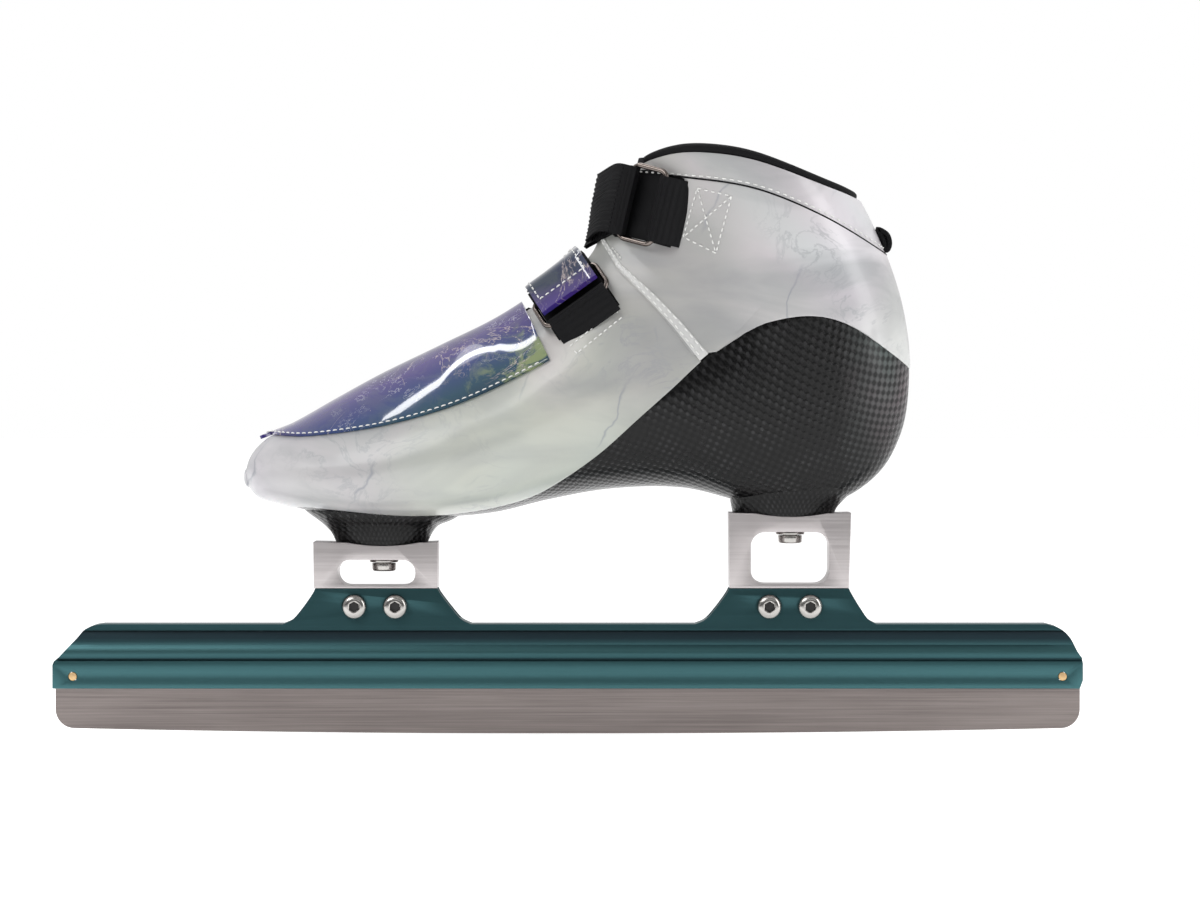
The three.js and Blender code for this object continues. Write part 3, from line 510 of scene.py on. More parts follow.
# ---------- the boot's outer surface ----------
# each station: top point (x, z), bottom point (x, z), half width, shift to the inner side, fullness and
# where the fullness lies
stations = [
    (-134.4, 108.8, -133.6, 104.2, 11, 8, 0.5, 1), (-132, 116, -129, 99, 22, 8, 0.46, 1.1),
    (-125.5, 123, -120.8, 96.4, 30, 8, 0.42, 1.2), (-113.4, 128.4, -108, 93.2, 37, 7, 0.4, 1.3),
    (-96, 138.2, -92, 91.2, 43, 5, 0.38, 1.5), (-77.6, 148.3, -74, 90.5, 47.5, 3, 0.38, 1.6),
    (-52.1, 160.7, -52, 90.5, 48.5, 1, 0.38, 1.6), (-28.3, 172.5, -30, 92.5, 46, -1, 0.4, 1.6),
    (-8, 186, -8, 97.7, 42.5, -2, 0.42, 1.5), (3, 195.5, 18, 102.2, 39, -2, 0.44, 1.3),
    (9.5, 203.5, 48, 102.6, 36.5, -1, 0.44, 1.2), (12.5, 209.5, 80, 95.5, 35, 0, 0.42, 1.1),
    (14.5, 215.5, 110, 96.2, 34.5, 0, 0.42, 1.05), (16, 220.5, 130, 108.8, 34.5, 0, 0.44, 1),
    (17.3, 224.5, 139.8, 127, 35, 0, 0.46, 1), (18.6, 228, 142.7, 150, 35.5, 0, 0.46, 1),
    (20, 231.2, 141, 171, 36, 0, 0.46, 1), (21.5, 234, 136, 191, 37, 0, 0.46, 1),
    (23.5, 237.5, 126, 215, 38, 0, 0.46, 1), (25.5, 246, 113, 239, 38.5, 0, 0.46, 1),
    (26.5, 262, 104, 262, 38.5, 0, 0.46, 1)]
fullScale = 20          # weighs a station's fullness against its millimetres


def cubicRows(points):
    # centripetal curve through the points: one cubic for each stretch and coordinate
    rows = []
    for i in range(len(points) - 1):
        p1, p2 = points[i], points[i + 1]
        p0 = points[i - 1] if i else [2 * a - b for a, b in zip(p1, p2)]
        p3 = points[i + 2] if i + 2 < len(points) else [2 * b - a for a, b in zip(p1, p2)]
        steps = [max(math.dist(a, b) ** 0.5, 0.0001) for a, b in ((p0, p1), (p1, p2), (p2, p3))]
        row = []
        for x0, x1, x2, x3 in zip(p0, p1, p2, p3):
            t1 = (x1 - x0) / steps[0] - (x2 - x0) / (steps[0] + steps[1]) + (x2 - x1) / steps[1]
            t2 = (x2 - x1) / steps[1] - (x3 - x1) / (steps[1] + steps[2]) + (x3 - x2) / steps[2]
            t1, t2 = t1 * steps[1], t2 * steps[1]
            row.append((x1, t1, -3 * x1 + 3 * x2 - 2 * t1 - t2, 2 * x1 - 2 * x2 + t1 + t2))
        rows.append(row)
    return rows


topRows = cubicRows([station[0:2] for station in stations])
bottomRows = cubicRows([station[2:4] for station in stations])
widthRows = cubicRows([(station[4], station[5]) for station in stations])
fullRows = cubicRows([(station[6] * fullScale, station[7] * fullScale) for station in stations])


def along(rows, u):
    place = min(max(u, 0.0), 0.9999999) * len(rows)
    i = int(place)
    w = place - i
    return [c[0] + w * (c[1] + w * (c[2] + w * c[3])) for c in rows[i]]


def skinPoint(u, angle):
    down = (1 - math.cos(angle)) / 2
    side = -1 if math.sin(angle) < 0 else 1
    topX, topZ = along(topRows, u)
    bottomX, bottomZ = along(bottomRows, u)
    half, shift = along(widthRows, u)
    full, where = along(fullRows, u)
    bulge = max(math.sin(math.pi * min(down, 1.0) ** (where / fullScale)), 0.0) ** (full / fullScale)
    return Vector((topX + (bottomX - topX) * down, side * half * bulge + shift * math.sin(math.pi * down),
                   topZ + (bottomZ - topZ) * down))


def skinNormal(u, angle):
    step, tilt = 0.012, 0.08
    lengthwise = skinPoint(min(u + step, 1), angle) - skinPoint(max(u - step, 0), angle)
    crosswise = skinPoint(u, angle + tilt) - skinPoint(u, angle - tilt)
    return lengthwise.cross(crosswise).normalized()


def bootPoint(u, angle, height):
    return (skinPoint(u, angle) + skinNormal(u, angle) * height) * mm


def findRoot(function, low, high, steps=26):
    rising = function(high) > function(low)
    for _ in range(steps):
        middle = (low + high) / 2
        if (function(middle) > 0) == rising:
            high = middle
        else:
            low = middle
    return (low + high) / 2


def sampled(function, low, high, count=160):
    table = [function(low + (high - low) * i / count) for i in range(count + 1)]

    def look(value):
        place = min(max((value - low) / (high - low), 0), 0.999999) * count
        i = int(place)
        return table[i] + (table[i + 1] - table[i]) * (place - i)
    return look


def curveThrough(points, samples=80):
    rows = cubicRows(points)
    return [along(rows, i / samples) for i in range(samples + 1)]


def heightOn(line, x):
    for (x0, z0), (x1, z1) in zip(line, line[1:]):
        if x <= x1:
            return z0 + (z1 - z0) * (x - x0) / (x1 - x0)
    return line[-1][1]


# side-view lines on the boot, in millimetres
carbonLine = curveThrough([(-150, 93), (-119.5, 94.4), (-108.5, 95.2), (-93.9, 93.9), (-67, 91.6),
                           (-45.5, 92.6), (-26.6, 95.9), (-13.8, 100), (-3.8, 105.5), (12.9, 117.2),
                           (29.6, 132.1), (43, 144), (59.4, 158.9), (74.3, 168.2), (83.2, 172.3),
                           (100.3, 175.1), (115.3, 171.9), (135.4, 159.2), (160, 140)])
seamLine = [(2, 226), (14, 206), (21.1, 193.1), (34.5, 179.8), (44.1, 169.2), (56, 154), (90, 110)]
bandLine = curveThrough([(-20, 234), (20, 234), (49.4, 231), (77.6, 226.2), (106.3, 214.7), (132.2, 199.9),
                         (150, 189)])
collarLine = curveThrough([(-20, 228), (24, 234), (34.5, 238.6), (46, 241.2), (61.3, 240.8), (77.6, 237.9),
                           (106.3, 227.9), (120.7, 222.6), (150, 208)])
coverLine = curveThrough([(-130, 124.2), (-123.1, 124.4), (-111, 123.9), (-98.9, 124.9), (-77.6, 128.1),
                          (-60.6, 132.3), (-43.6, 137.9), (-26.6, 145.5), (-9.4, 154.3), (10, 166)])


def over(line, u, angle):
    # how far the skin lies above a side-view line
    point = skinPoint(u, angle)
    return point.z - heightOn(line, point.x)


def carbonAngleAt(u):
    # the angle, from the instep line round the side, where a section meets the carbon's upper edge
    if over(carbonLine, u, math.pi) > 0:
        return math.pi
    return findRoot(lambda angle: over(carbonLine, u, angle), 0.3, math.pi)


carbonAngle = sampled(carbonAngleAt, 0, 1, 400)
throat = {"half": 9.0, "start": 0.215, "length": 0.05}


def throatAngleAt(u):
    if u < throat["start"]:
        return 0.0
    opened = min((u - throat["start"]) / throat["length"], 1)
    width = throat["half"] * math.sin(opened * math.pi / 2)
    return findRoot(lambda angle: skinPoint(u, angle).y - width, 0.0, 1.2)


throatAngle = sampled(throatAngleAt, 0, 1, 200)


def panelAngle(u, share):
    # from the throat down to the carbon's edge
    return throatAngle(u) + (carbonAngle(u) - throatAngle(u)) * share


def wrapAngle(u, share):
    # from the throat right round to the line up the back of the heel
    return throatAngle(u) + (math.pi - throatAngle(u)) * share


def panelPoint(u, share, side, height):
    return bootPoint(u, side * panelAngle(u, share), height)


def wrapPoint(u, share, side, height):
    return bootPoint(u, side * wrapAngle(u, share), height)


def seamSectionAt(share):
    # the section where the row at this share crosses the seam between the vamp and the cuff
    return findRoot(lambda u: over(seamLine, u, panelAngle(u, share)), 0.46, 0.64)


seamSection = sampled(seamSectionAt, 0, 1, 60)


def wrapSection(lines, share, low, high):
    # the lowest section above every one of these side-view lines
    return findRoot(lambda u: min(over(line, u, wrapAngle(u, share)) for line in lines), low, high)


cuffSection = sampled(lambda share: wrapSection((seamLine, carbonLine), share, 0.46, 0.82), 0, 1, 160)
bandSection = sampled(lambda share: wrapSection((bandLine,), share, 0.74, 0.95), 0, 1, 60)
collarSection = sampled(lambda share: wrapSection((collarLine,), share, 0.80, 0.98), 0, 1, 60)


def findSkin(x, z, high=0.97):
    # the section and angle whose skin point stands at this place in the side view
    def across(u):
        top, bottom = along(topRows, u), along(bottomRows, u)
        return (bottom[0] - top[0]) * (z - top[1]) - (bottom[1] - top[1]) * (x - top[0])
    u = findRoot(across, 0.02, high, 34)
    top, bottom = along(topRows, u), along(bottomRows, u)
    run = (bottom[0] - top[0], bottom[1] - top[1])
    down = ((x - top[0]) * run[0] + (z - top[1]) * run[1]) / (run[0] ** 2 + run[1] ** 2)
    return u, math.acos(1 - 2 * min(max(down, 0.0), 1.0))


def bothSides(t):
    # a run from the throat on the near side round the heel to the throat on the far side
    return 1 - abs(2 * t - 1), -1 if t < 0.5 else 1


def bootOutside(point):
    # roughly outwards from the middle of the foot or the ankle
    x = point.x / mm
    spine = Vector((min(x, 60), 0, 118 if x < 0 else max(118, point.z / mm - 10))) * mm
    return point - spine


print("boot surface ready")


# ---------- carbon base ----------
carbonBase = {"recess": -0.15, "wall": 2.2, "columns": 60, "from": 0.118, "turn": 0.735, "lengthRows": 150,
              "heelRows": 64}
# levels: height, half length, half width and shift to the heel
bossShapes = {
    "front": {"x": -76.7, "bottom": 80.3, "levels": [(0.0, 19.2, 12.4, -0.8), (3.6, 21.0, 13.8, -0.8),
              (6.6, 23.6, 15.8, -0.9), (8.8, 27.6, 18.2, 0.4), (11.0, 31.0, 20.5, 0.8),
              (13.4, 34.0, 22.0, 0.9), (15.5, 35.0, 22.5, 0.9)]},
    "rear": {"x": 92.9, "bottom": 92.5, "levels": [(0.0, 21.3, 12.6, -2.8), (2.0, 22.0, 13.6, -2.5),
             (5.0, 23.6, 15.2, -1.4), (8.0, 25.0, 16.8, 0.0), (12.0, 26.0, 18.0, 0.5),
             (16.0, 26.0, 18.6, 0.5)]},
}
bossForm = {"around": 96, "rounding": 0.8, "seatFade": 2.2, "weaveRound": 0.025, "weaveUp": 1.3}
seatShape = {"chord": 30, "dip": 1.4}


def seatDrop(x):
    radius = ((seatShape["chord"] / 2) ** 2 + seatShape["dip"] ** 2) / (2 * seatShape["dip"])
    if abs(x) >= seatShape["chord"] / 2:
        return 0.0
    return radius - seatShape["dip"] - math.sqrt(radius ** 2 - x ** 2)


def makeBossMesh(name, shape, finish):
    around = bossForm["around"]
    levels = curveThrough(shape["levels"], 36)
    points, faces = [], []
    for height, length, width, shift in levels:
        for i in range(around):
            angle = turn * i / around
            c, s = math.cos(angle), math.sin(angle)
            x = shift + length * math.copysign(abs(c) ** bossForm["rounding"], c)
            y = width * math.copysign(abs(s) ** bossForm["rounding"], s)
            drop = seatDrop(x) * max(0, 1 - height / bossForm["seatFade"])
            points.append(Vector((shape["x"] + x, y, shape["bottom"] + height + drop)) * mm)
    rings = len(levels)
    for row in range(rings - 1):
        for i in range(around):
            j = (i + 1) % around
            faces.append((row * around + i, row * around + j, (row + 1) * around + j, (row + 1) * around + i))
    for row, flip in ((0, True), (rings - 1, False)):
        middle = sum((points[row * around + i] for i in range(around)), Vector()) / around
        points.append(middle)
        centre = len(points) - 1
        for i in range(around):
            j = (i + 1) % around
            edge = (row * around + j, row * around + i) if flip else (row * around + i, row * around + j)
            faces.append((centre, *edge))
    boss = meshPiece(name, points, faces, finish)
    layer = boss.data.uv_layers[0].data
    for loop in boss.data.loops:
        point = boss.data.vertices[loop.vertex_index].co
        bearing = math.atan2(point.y, point.x - shape["x"] * mm)
        layer[loop.index].uv = (bearing * bossForm["weaveRound"], point.z * bossForm["weaveUp"])
    smoothShade(boss, 40)
    return boss


def carbonRim():
    # (section, angle) pairs along the shell's upper edge: by section to the ankle, then by angle to the heel
    first, last, rows = carbonBase["from"], carbonBase["turn"], carbonBase["lengthRows"]
    sections = [first + (last - first) * i / rows for i in range(rows)]
    rim = [(u, carbonAngle(u)) for u in sections]
    begin = carbonAngle(last)
    for i in range(carbonBase["heelRows"] + 1):
        angle = begin + (math.pi - begin) * i / carbonBase["heelRows"]
        u = findRoot(lambda section: over(carbonLine, section, angle), 0.5, 0.82)
        rim.append((max(u, rim[-1][0] + 0.00002), angle))
    return rim


def makeCarbonBase():
    rim = carbonRim()

    def place(s, t):
        u, edge = rim[round(s * (len(rim) - 1))]
        return bootPoint(u, edge + (turn - 2 * edge) * t, carbonBase["recess"])
    shell = gridPiece("carbonShell", len(rim) - 1, carbonBase["columns"], place, carbonFinish, (0.30, 0.13))
    layer = shell.data.uv_layers.active.data
    for loop in shell.data.loops:
        point = shell.data.vertices[loop.vertex_index].co
        layer[loop.index].uv = (point.x * 0.75 + point.z * 0.35, point.z * 0.8 - point.x * 0.3 + abs(point.y))
    mergeDoubles(shell, 0.000005)
    faceOutwards(shell, bootOutside)
    thicken(shell, carbonBase["wall"] * mm, 0.0005)
    bosses = [makeBossMesh(end + "Boss", shape, carbonFinish) for end, shape in bossShapes.items()]
    settle(joinPieces("carbonBase", [shell, *bosses]), "boot", "carbon", "carbon_base")


makeCarbonBase()
print("carbon base ready")


# ---------- white leather panels ----------
leather = {"thickness": 1.5, "vampLift": 0.25, "cuffLift": 0.75, "cuffDrop": 0.45, "bandLift": 0.1,
           "edge": 0.0005}
toeCap = {"rows": 0.06, "section": 0.012, "reach": -1.9, "crowding": 0.85}


def makeVamp():
    halves = []
    tip = toeCap["section"]
    middle = (bootPoint(tip, 0, 0) + bootPoint(tip, math.pi, 0)) / 2 + Vector((toeCap["reach"], 0, 0)) * mm
    for side in (-1, 1):
        def place(s, t, side=side):
            # the first rows close the toe, the rest follow the sections
            share = max(s - toeCap["rows"], 0) / (1 - toeCap["rows"])
            u = seamSection(t) * share ** toeCap["crowding"]
            if u >= tip:
                return panelPoint(u, t, side, leather["vampLift"])
            quarter = min(s / toeCap["rows"], 1) * math.pi / 2
            ring = panelPoint(tip, t, side, leather["vampLift"])
            point = middle.lerp(ring, math.sin(quarter))
            point.x = middle.x + (ring.x - middle.x) * (1 - math.cos(quarter))
            return point
        half = gridPiece("vampHalf", 130, 64, place, pearlLeather, (0.2, 0.1))
        faceOutwards(half, bootOutside)
        halves.append(half)
    vamp = joinPieces("vamp", halves)
    mergeDoubles(vamp)
    thicken(vamp, leather["thickness"] * mm, leather["edge"])
    settle(vamp, "boot", "white_leather", "vamp")


def makeCuff(name, side, node):
    def place(s, t):
        # proud of the vamp along the seam in front, level with the band elsewhere
        first, last = cuffSection(t) - 0.003, bandSection(t)
        u = first + (last - first) * s
        inFront = t < 0.75
        lift = leather["cuffLift"] - leather["cuffDrop"] * (min(s * 6, 1) if inFront else 1)
        return wrapPoint(u, min(t, 0.9975), side, lift)
    cuff = gridPiece(name, 72, 84, place, pearlLeather, (0.1, 0.12))
    faceOutwards(cuff, bootOutside)
    thicken(cuff, leather["thickness"] * mm, leather["edge"])
    settle(cuff, "boot", "white_leather", node)


def makeCollarBand():
    def place(s, t):
        share, side = bothSides(t)
        low, high = bandSection(share) + 0.001, collarSection(share)
        return wrapPoint(low + (high - low) * s, share, side, leather["bandLift"])
    band = gridPiece("collarBand", 14, 150, place, pearlLeather, (0.02, 0.2))
    faceOutwards(band, bootOutside)
    thicken(band, leather["thickness"] * mm, 0.0003)
    settle(band, "boot", "white_leather", "collar_band")


makeVamp()
makeCuff("nearCuff", -1, "near_cuff")
makeCuff("farCuff", 1, "far_cuff")
makeCollarBand()
print("leather panels ready")


# ---------- lining, tongue and insole ----------
padding = {"outer": -2.5, "lining": 2.6, "liningFrom": 0.30, "tongueOuter": -5.6, "tongue": 3.6,
           "tongueHalf": 0.62, "tongueFrom": 0.25, "tongueTo": 0.925, "quilt": 0.5}
insoleShape = {"toe": -112.0, "heel": 124.0, "thickness": 2.6, "rise": 6.2, "edgeHeight": 4.5, "inset": -6.2,
               "dish": 1.2, "roundEnds": 12, "endWidth": 0.35}
insoleFloor = [(-150, 102), (-124, 99.6), (-100, 94.4), (-45, 93.3), (-18, 98), (4, 102.6), (24, 105.2),
               (160, 105.2)]


def makeLining():
    def place(s, t):
        share, side = bothSides(t)
        high = collarSection(share) + 0.004
        u = padding["liningFrom"] + (high - padding["liningFrom"]) * s
        low = throatAngle(u) + 0.05
        angle = low + (math.pi - low) * share
        return bootPoint(u, side * angle, padding["outer"])
    lining = gridPiece("lining", 70, 110, place, liningFinish, (0.2, 0.2))
    faceOutwards(lining, bootOutside)
    thicken(lining, padding["lining"] * mm, 0.001, 3)
    settle(lining, "boot", "black_fabric", "lining")


def makeTongue():
    def place(s, t):
        u = padding["tongueFrom"] + (padding["tongueTo"] - padding["tongueFrom"]) * s
        angle = (2 * t - 1) * padding["tongueHalf"]
        quilt = padding["quilt"] * math.sin(math.pi * t) ** 0.5
        return bootPoint(u, angle, padding["tongueOuter"] + quilt)
    tongue = gridPiece("tongue", 70, 30, place, liningFinish, (0.15, 0.05))
    faceOutwards(tongue, bootOutside)
    thicken(tongue, padding["tongue"] * mm, 0.0012, 3)
    settle(tongue, "boot", "black_fabric", "tongue")


def makeInsole():
    def edgeAt(x, side):
        u, angle = findSkin(x, heightOn(insoleFloor, x) + insoleShape["edgeHeight"], high=0.8)
        return bootPoint(u, side * angle, insoleShape["inset"]).y

    def place(s, t):
        x = insoleShape["toe"] + (insoleShape["heel"] - insoleShape["toe"]) * s
        fromEnd = min(s, 1 - s) * insoleShape["roundEnds"]
        full = math.sin(math.pi / 2 * fromEnd) if fromEnd < 1 else 1
        near, far = edgeAt(x, -1), edgeAt(x, 1)
        narrow = insoleShape["endWidth"]
        middle, half = (near + far) / 2, (far - near) / 2 * (narrow + (1 - narrow) * full)
        across = 2 * t - 1
        height = heightOn(insoleFloor, x) + insoleShape["rise"] + insoleShape["dish"] * across ** 4
        return Vector((x * mm, middle + half * across, height * mm))
    insole = gridPiece("insole", 90, 24, place, insoleFinish, (0.24, 0.06))
    faceOutwards(insole, lambda point: Vector((0, 0, 1)))
    thicken(insole, insoleShape["thickness"] * mm, 0.0008)
    settle(insole, "boot", "black_fabric", "insole")


makeLining()
makeTongue()
makeInsole()
print("padding ready")


# ---------- collar binding ----------
collarTape = {"wide": 2.7, "tall": 2.0, "underside": 1.25, "lift": 1.6, "rearLift": 1.2, "offset": -2.6,
              "open": 0.55, "steps": 150}


def tubePiece(name, path, section, finish, closed=False, ups=None):
    # a section laid along a path; section is a list of (sideways, up) offsets in metres
    girth = 0.012
    points, faces, uvs = [], [], []
    count = len(path)
    size = len(section)
    length = 0.0
    for i, point in enumerate(path):
        ahead = path[(i + 1) % count] if closed or i + 1 < count else point
        behind = path[i - 1] if closed or i else point
        tangent = (ahead - behind).normalized()
        up = ups[i] if ups else Vector((0, 0, 1))
        sideways = up.cross(tangent).normalized()
        lift = tangent.cross(sideways).normalized()
        if i:
            length += (point - path[i - 1]).length
        for k, (a, b) in enumerate(section):
            points.append(point + sideways * a + lift * b)
            uvs.append((length, k * girth / size))
    for i in range(count if closed else count - 1):
        for k in range(size):
            i2, k2 = (i + 1) % count, (k + 1) % size
            faces.append((i * size + k, i2 * size + k, i2 * size + k2, i * size + k2))
    if not closed:
        for row, flip in ((0, False), (count - 1, True)):
            points.append(path[row])
            uvs.append((0, 0))
            centre = len(points) - 1
            for k in range(size):
                k2 = (k + 1) % size
                pair = (row * size + k2, row * size + k) if flip else (row * size + k, row * size + k2)
                faces.append((centre, *pair))
    piece = meshPiece(name, points, faces, finish)
    layer = piece.data.uv_layers[0].data
    for loop in piece.data.loops:
        layer[loop.index].uv = uvs[loop.vertex_index]
    recalculate(piece)
    smoothShade(piece, 50)
    return piece


def roundSection(wide, tall, count=16):
    angles = [turn * k / count for k in range(count)]
    return [(wide * mm * math.cos(angle), tall * mm * math.sin(angle)) for angle in angles]


def makeCollarBinding():
    path = []
    for i in range(collarTape["steps"] + 1):
        angle = collarTape["open"] + (turn - 2 * collarTape["open"]) * i / collarTape["steps"]
        lift = collarTape["lift"] + collarTape["rearLift"] * math.sin(angle / 2) ** 4
        u = findRoot(lambda section: over(collarLine, section, angle) - lift, 0.8, 0.99)
        path.append(bootPoint(u, -angle, collarTape["offset"]))
    section = [(a, b * (1 if b > 0 else collarTape["underside"]))
               for a, b in roundSection(collarTape["wide"], collarTape["tall"])]
    tape = tubePiece("collarBinding", path, section, bindingFinish)
    settle(tape, "boot", "black_fabric", "collar_binding")


makeCollarBinding()
print("collar binding ready")


# ---------- stitches ----------
stitchShape = {"length": 2.1, "gap": 1.1, "radius": 0.3, "sides": 6}
# a stitch's rings: share of its length, share of the radius, lift in radii
stitchRings = [(0.0, 0.45, -0.5), (0.16, 1.0, 0.25), (0.5, 1.1, 0.6), (0.84, 1.0, 0.25), (1.0, 0.45, -0.5)]


def addStitch(points, faces, start, end, normal, radius):
    # one thread stitch: a small pill that dips at both ends
    direction = end - start
    tangent = direction.normalized()
    sideways = normal.cross(tangent).normalized()
    base = len(points)
    sides = stitchShape["sides"]
    last = base + (len(stitchRings) - 1) * sides
    for share, size, lift in stitchRings:
        middle = start + direction * share + normal * lift * radius
        for k in range(sides):
            angle = turn * k / sides
            points.append(middle + (sideways * math.cos(angle) + normal * math.sin(angle)) * radius * size)
    for ring in range(base, last, sides):
        for k in range(sides):
            k2 = (k + 1) % sides
            faces.append((ring + k, ring + k2, ring + sides + k2, ring + sides + k))
    faces.append(tuple(reversed(range(base, base + sides))))
    faces.append(tuple(range(last, last + sides)))


def stitchLine(points, faces, path, normals, length=None, gap=None, radius=None):
    # path and normals are matched lists in metres; stitches are laid along the path at an even pitch
    length = (length or stitchShape["length"]) * mm
    pitch = length + (gap or stitchShape["gap"]) * mm
    radius = (radius or stitchShape["radius"]) * mm
    lengths = [0.0]
    for a, b in zip(path, path[1:]):
        lengths.append(lengths[-1] + (b - a).length)

    def at(distance):
        for i in range(len(lengths) - 1):
            if distance <= lengths[i + 1] or i == len(lengths) - 2:
                share = (distance - lengths[i]) / max(lengths[i + 1] - lengths[i], 1e-9)
                return path[i].lerp(path[i + 1], share), normals[i].lerp(normals[i + 1], share).normalized()
    count = max(int(lengths[-1] / pitch), 1)
    for i in range(count):
        first = i * lengths[-1] / count
        start, normal = at(first)
        end = at(first + length)[0]
        addStitch(points, faces, start, end, normal, radius)


def skinTrack(pairs, side, height):
    # a track over the skin through (u, angle) pairs
    return [bootPoint(u, side * a, height) for u, a in pairs], [skinNormal(u, side * a) for u, a in pairs]


def sideTrack(start, end, side, height, count):
    # a track over the skin below a straight run between two (x, z) points of the side view
    spots = []
    for i in range(count + 1):
        share = i / count
        spots.append(findSkin(start[0] + (end[0] - start[0]) * share, start[1] + (end[1] - start[1]) * share))
    return skinTrack(spots, side, height)


seamTape = {"width": 0.0155, "lift": 0.95, "thickness": 0.7, "shadowCord": 0.42}


def makeSeamTape(name, side):
    # the strip that covers the joint between the vamp and the cuff
    def place(s, t):
        share = 0.05 + 0.945 * t
        u = seamSection(share) + seamTape["width"] * (s - 0.03)
        crown = 0.18 * math.sin(math.pi * s)
        return panelPoint(u, share, side, seamTape["lift"] + crown)
    tape = gridPiece(name, 10, 70, place, tapeLeather, (0.0035, 0.07))
    faceOutwards(tape, bootOutside)
    thicken(tape, seamTape["thickness"] * mm, 0.0002)
    settle(tape, "boot", "white_leather")


def makeShadowCord(name, side):
    # a fine dark cord between the cuff and the collar band, painted shadow: it stands for the shadow line
    # under the cuff's top edge
    shares = [0.02 + 0.975 * i / 90 for i in range(91)]
    path = [wrapPoint(bandSection(share) + 0.0005, share, side, 0.1) for share in shares]
    cord = tubePiece(name, path, roundSection(seamTape["shadowCord"], seamTape["shadowCord"], 8), bindingFinish)
    settle(cord, "boot", "black_fabric")


for name, side in (("near", -1), ("far", 1)):
    makeSeamTape(name + "SeamTape", side)
    makeShadowCord(name + "Piping", side)


leatherStitches = {"seamShifts": (0.0035, 0.0125), "seamHeight": 1.15, "bandShift": 0.0058}
# drawn in the side view: the crossed box behind the ankle ring, the strip under the vamp loop, two short bars
crossBox = [(53.7, 226.7), (67.6, 223.3), (61.3, 199.9), (48, 206.6)]
loopStrip = [(1.2, 161.4), (19.8, 176.5), (22.5, 173.4), (4, 158.5)]
seamBars = [((17.5, 201.5), (21.5, 196.5)), ((19.0, 202.3), (22.8, 197.4))]


def closedRuns(corners):
    return list(zip(corners, corners[1:] + corners[:1]))


def makeLeatherStitches():
    points, faces = [], []
    for side in (-1, 1):
        for shift in leatherStitches["seamShifts"]:
            pairs = []
            for i in range(41):
                share = 0.10 + 0.885 * i / 40
                u = seamSection(share) + shift
                pairs.append((u, panelAngle(u, share)))
            stitchLine(points, faces, *skinTrack(pairs, side, leatherStitches["seamHeight"]), gap=1.3)
        pairs = []
        for i in range(81):
            share = 0.10 + 0.88 * i / 80
            u = bandSection(share) + leatherStitches["bandShift"]
            pairs.append((u, wrapAngle(u, share)))
        stitchLine(points, faces, *skinTrack(pairs, side, leather["bandLift"] + 0.1), length=1.9, gap=1.3)
        for start, end in [*closedRuns(crossBox), (crossBox[0], crossBox[2]), (crossBox[1], crossBox[3])]:
            stitchLine(points, faces, *sideTrack(start, end, side, 0.45, 16), length=1.7, gap=0.9)
        for start, end in closedRuns(loopStrip):
            stitchLine(points, faces, *sideTrack(start, end, side, 0.4, 16), length=1.7, gap=0.9)
        for start, end in seamBars:
            stitchLine(points, faces, *sideTrack(start, end, side, 0.95, 8), length=1.5, gap=0.3, radius=0.35)
    settle(stitchPiece("leatherStitches", points, faces), "boot", "white_leather")


makeLeatherStitches()
print("stitches ready")


# ---------- lace cover ----------
laceCover = {"bend": ((-0.126, 0, 0.122), (-0.108, 0, 0.132)), "low": 0.45, "thickness": 1.5, "rows": 110,
             "columns": 90, "tip": 0.092, "crowding": 0.9, "stitchIn": 2.2 / 230, "foldRows": 0.06,
             "foldCurve": 0.35}
coverRear = (-6.8, 155.2, -18.8, 180.2)


def coverAngleAt(u):
    return findRoot(lambda angle: over(coverLine, u, angle), 0.0, 2.6)


coverAngle = sampled(coverAngleAt, 0.08, 0.5, 120)


def rearSection(share):
    # where the row at this share meets the cover's straight rear edge
    x0, z0, x1, z1 = coverRear

    def behind(u):
        point = skinPoint(u, coverAngle(u) * share)
        return (point.x - x0) * (z0 - z1) - (point.z - z0) * (x0 - x1)
    return findRoot(behind, 0.28, 0.48)


coverRearSection = sampled(rearSection, 0, 1, 50)


def coverPlace(s, t, height, inset=0.0):
    share = abs(2 * t - 1)
    side = -1 if t < 0.5 else 1
    first, last = laceCover["tip"] + inset * 0.6, coverRearSection(share) - inset * 0.5
    u = first + (last - first) * s ** laceCover["crowding"]
    fold = min(s / laceCover["foldRows"], 1.0)
    wide = coverAngle(u) - inset * 1.6
    angle = side * max(wide, 0.02) * share * fold ** laceCover["foldCurve"]
    return u, angle, height + (1 - fold) ** 2


def makeLaceCover():
    def place(s, t):
        return bootPoint(*coverPlace(s, t, laceCover["low"] + laceCover["thickness"]))
    cover = gridPiece("laceCover", laceCover["rows"], laceCover["columns"], place, patentFinish, (0.12, 0.09))
    mergeDoubles(cover, 0.00001)
    faceOutwards(cover, bootOutside)
    thicken(cover, laceCover["thickness"] * mm, 0.0006, 3)
    settleBent(cover, "cover_flap", *laceCover["bend"], "patent", "lace_cover")
    points, faces = [], []
    top = laceCover["low"] + laceCover["thickness"] + 0.05
    for side in (0, 1):
        spots = [coverPlace(0.015 + 0.97 * i / 100, side, top, laceCover["stitchIn"]) for i in range(101)]
        path = [bootPoint(*spot) for spot in spots]
        normals = [skinNormal(spot[0], spot[1]) for spot in spots]
        stitchLine(points, faces, path, normals, length=2.0, gap=1.0, radius=0.26)
    stitches = stitchPiece("coverStitches", points, faces)
    settleBent(stitches, "cover_flap", *laceCover["bend"], "white_leather")


makeLaceCover()
print("lace cover ready")


# ---------- straps, rings and loops ----------
strapColumns = 48
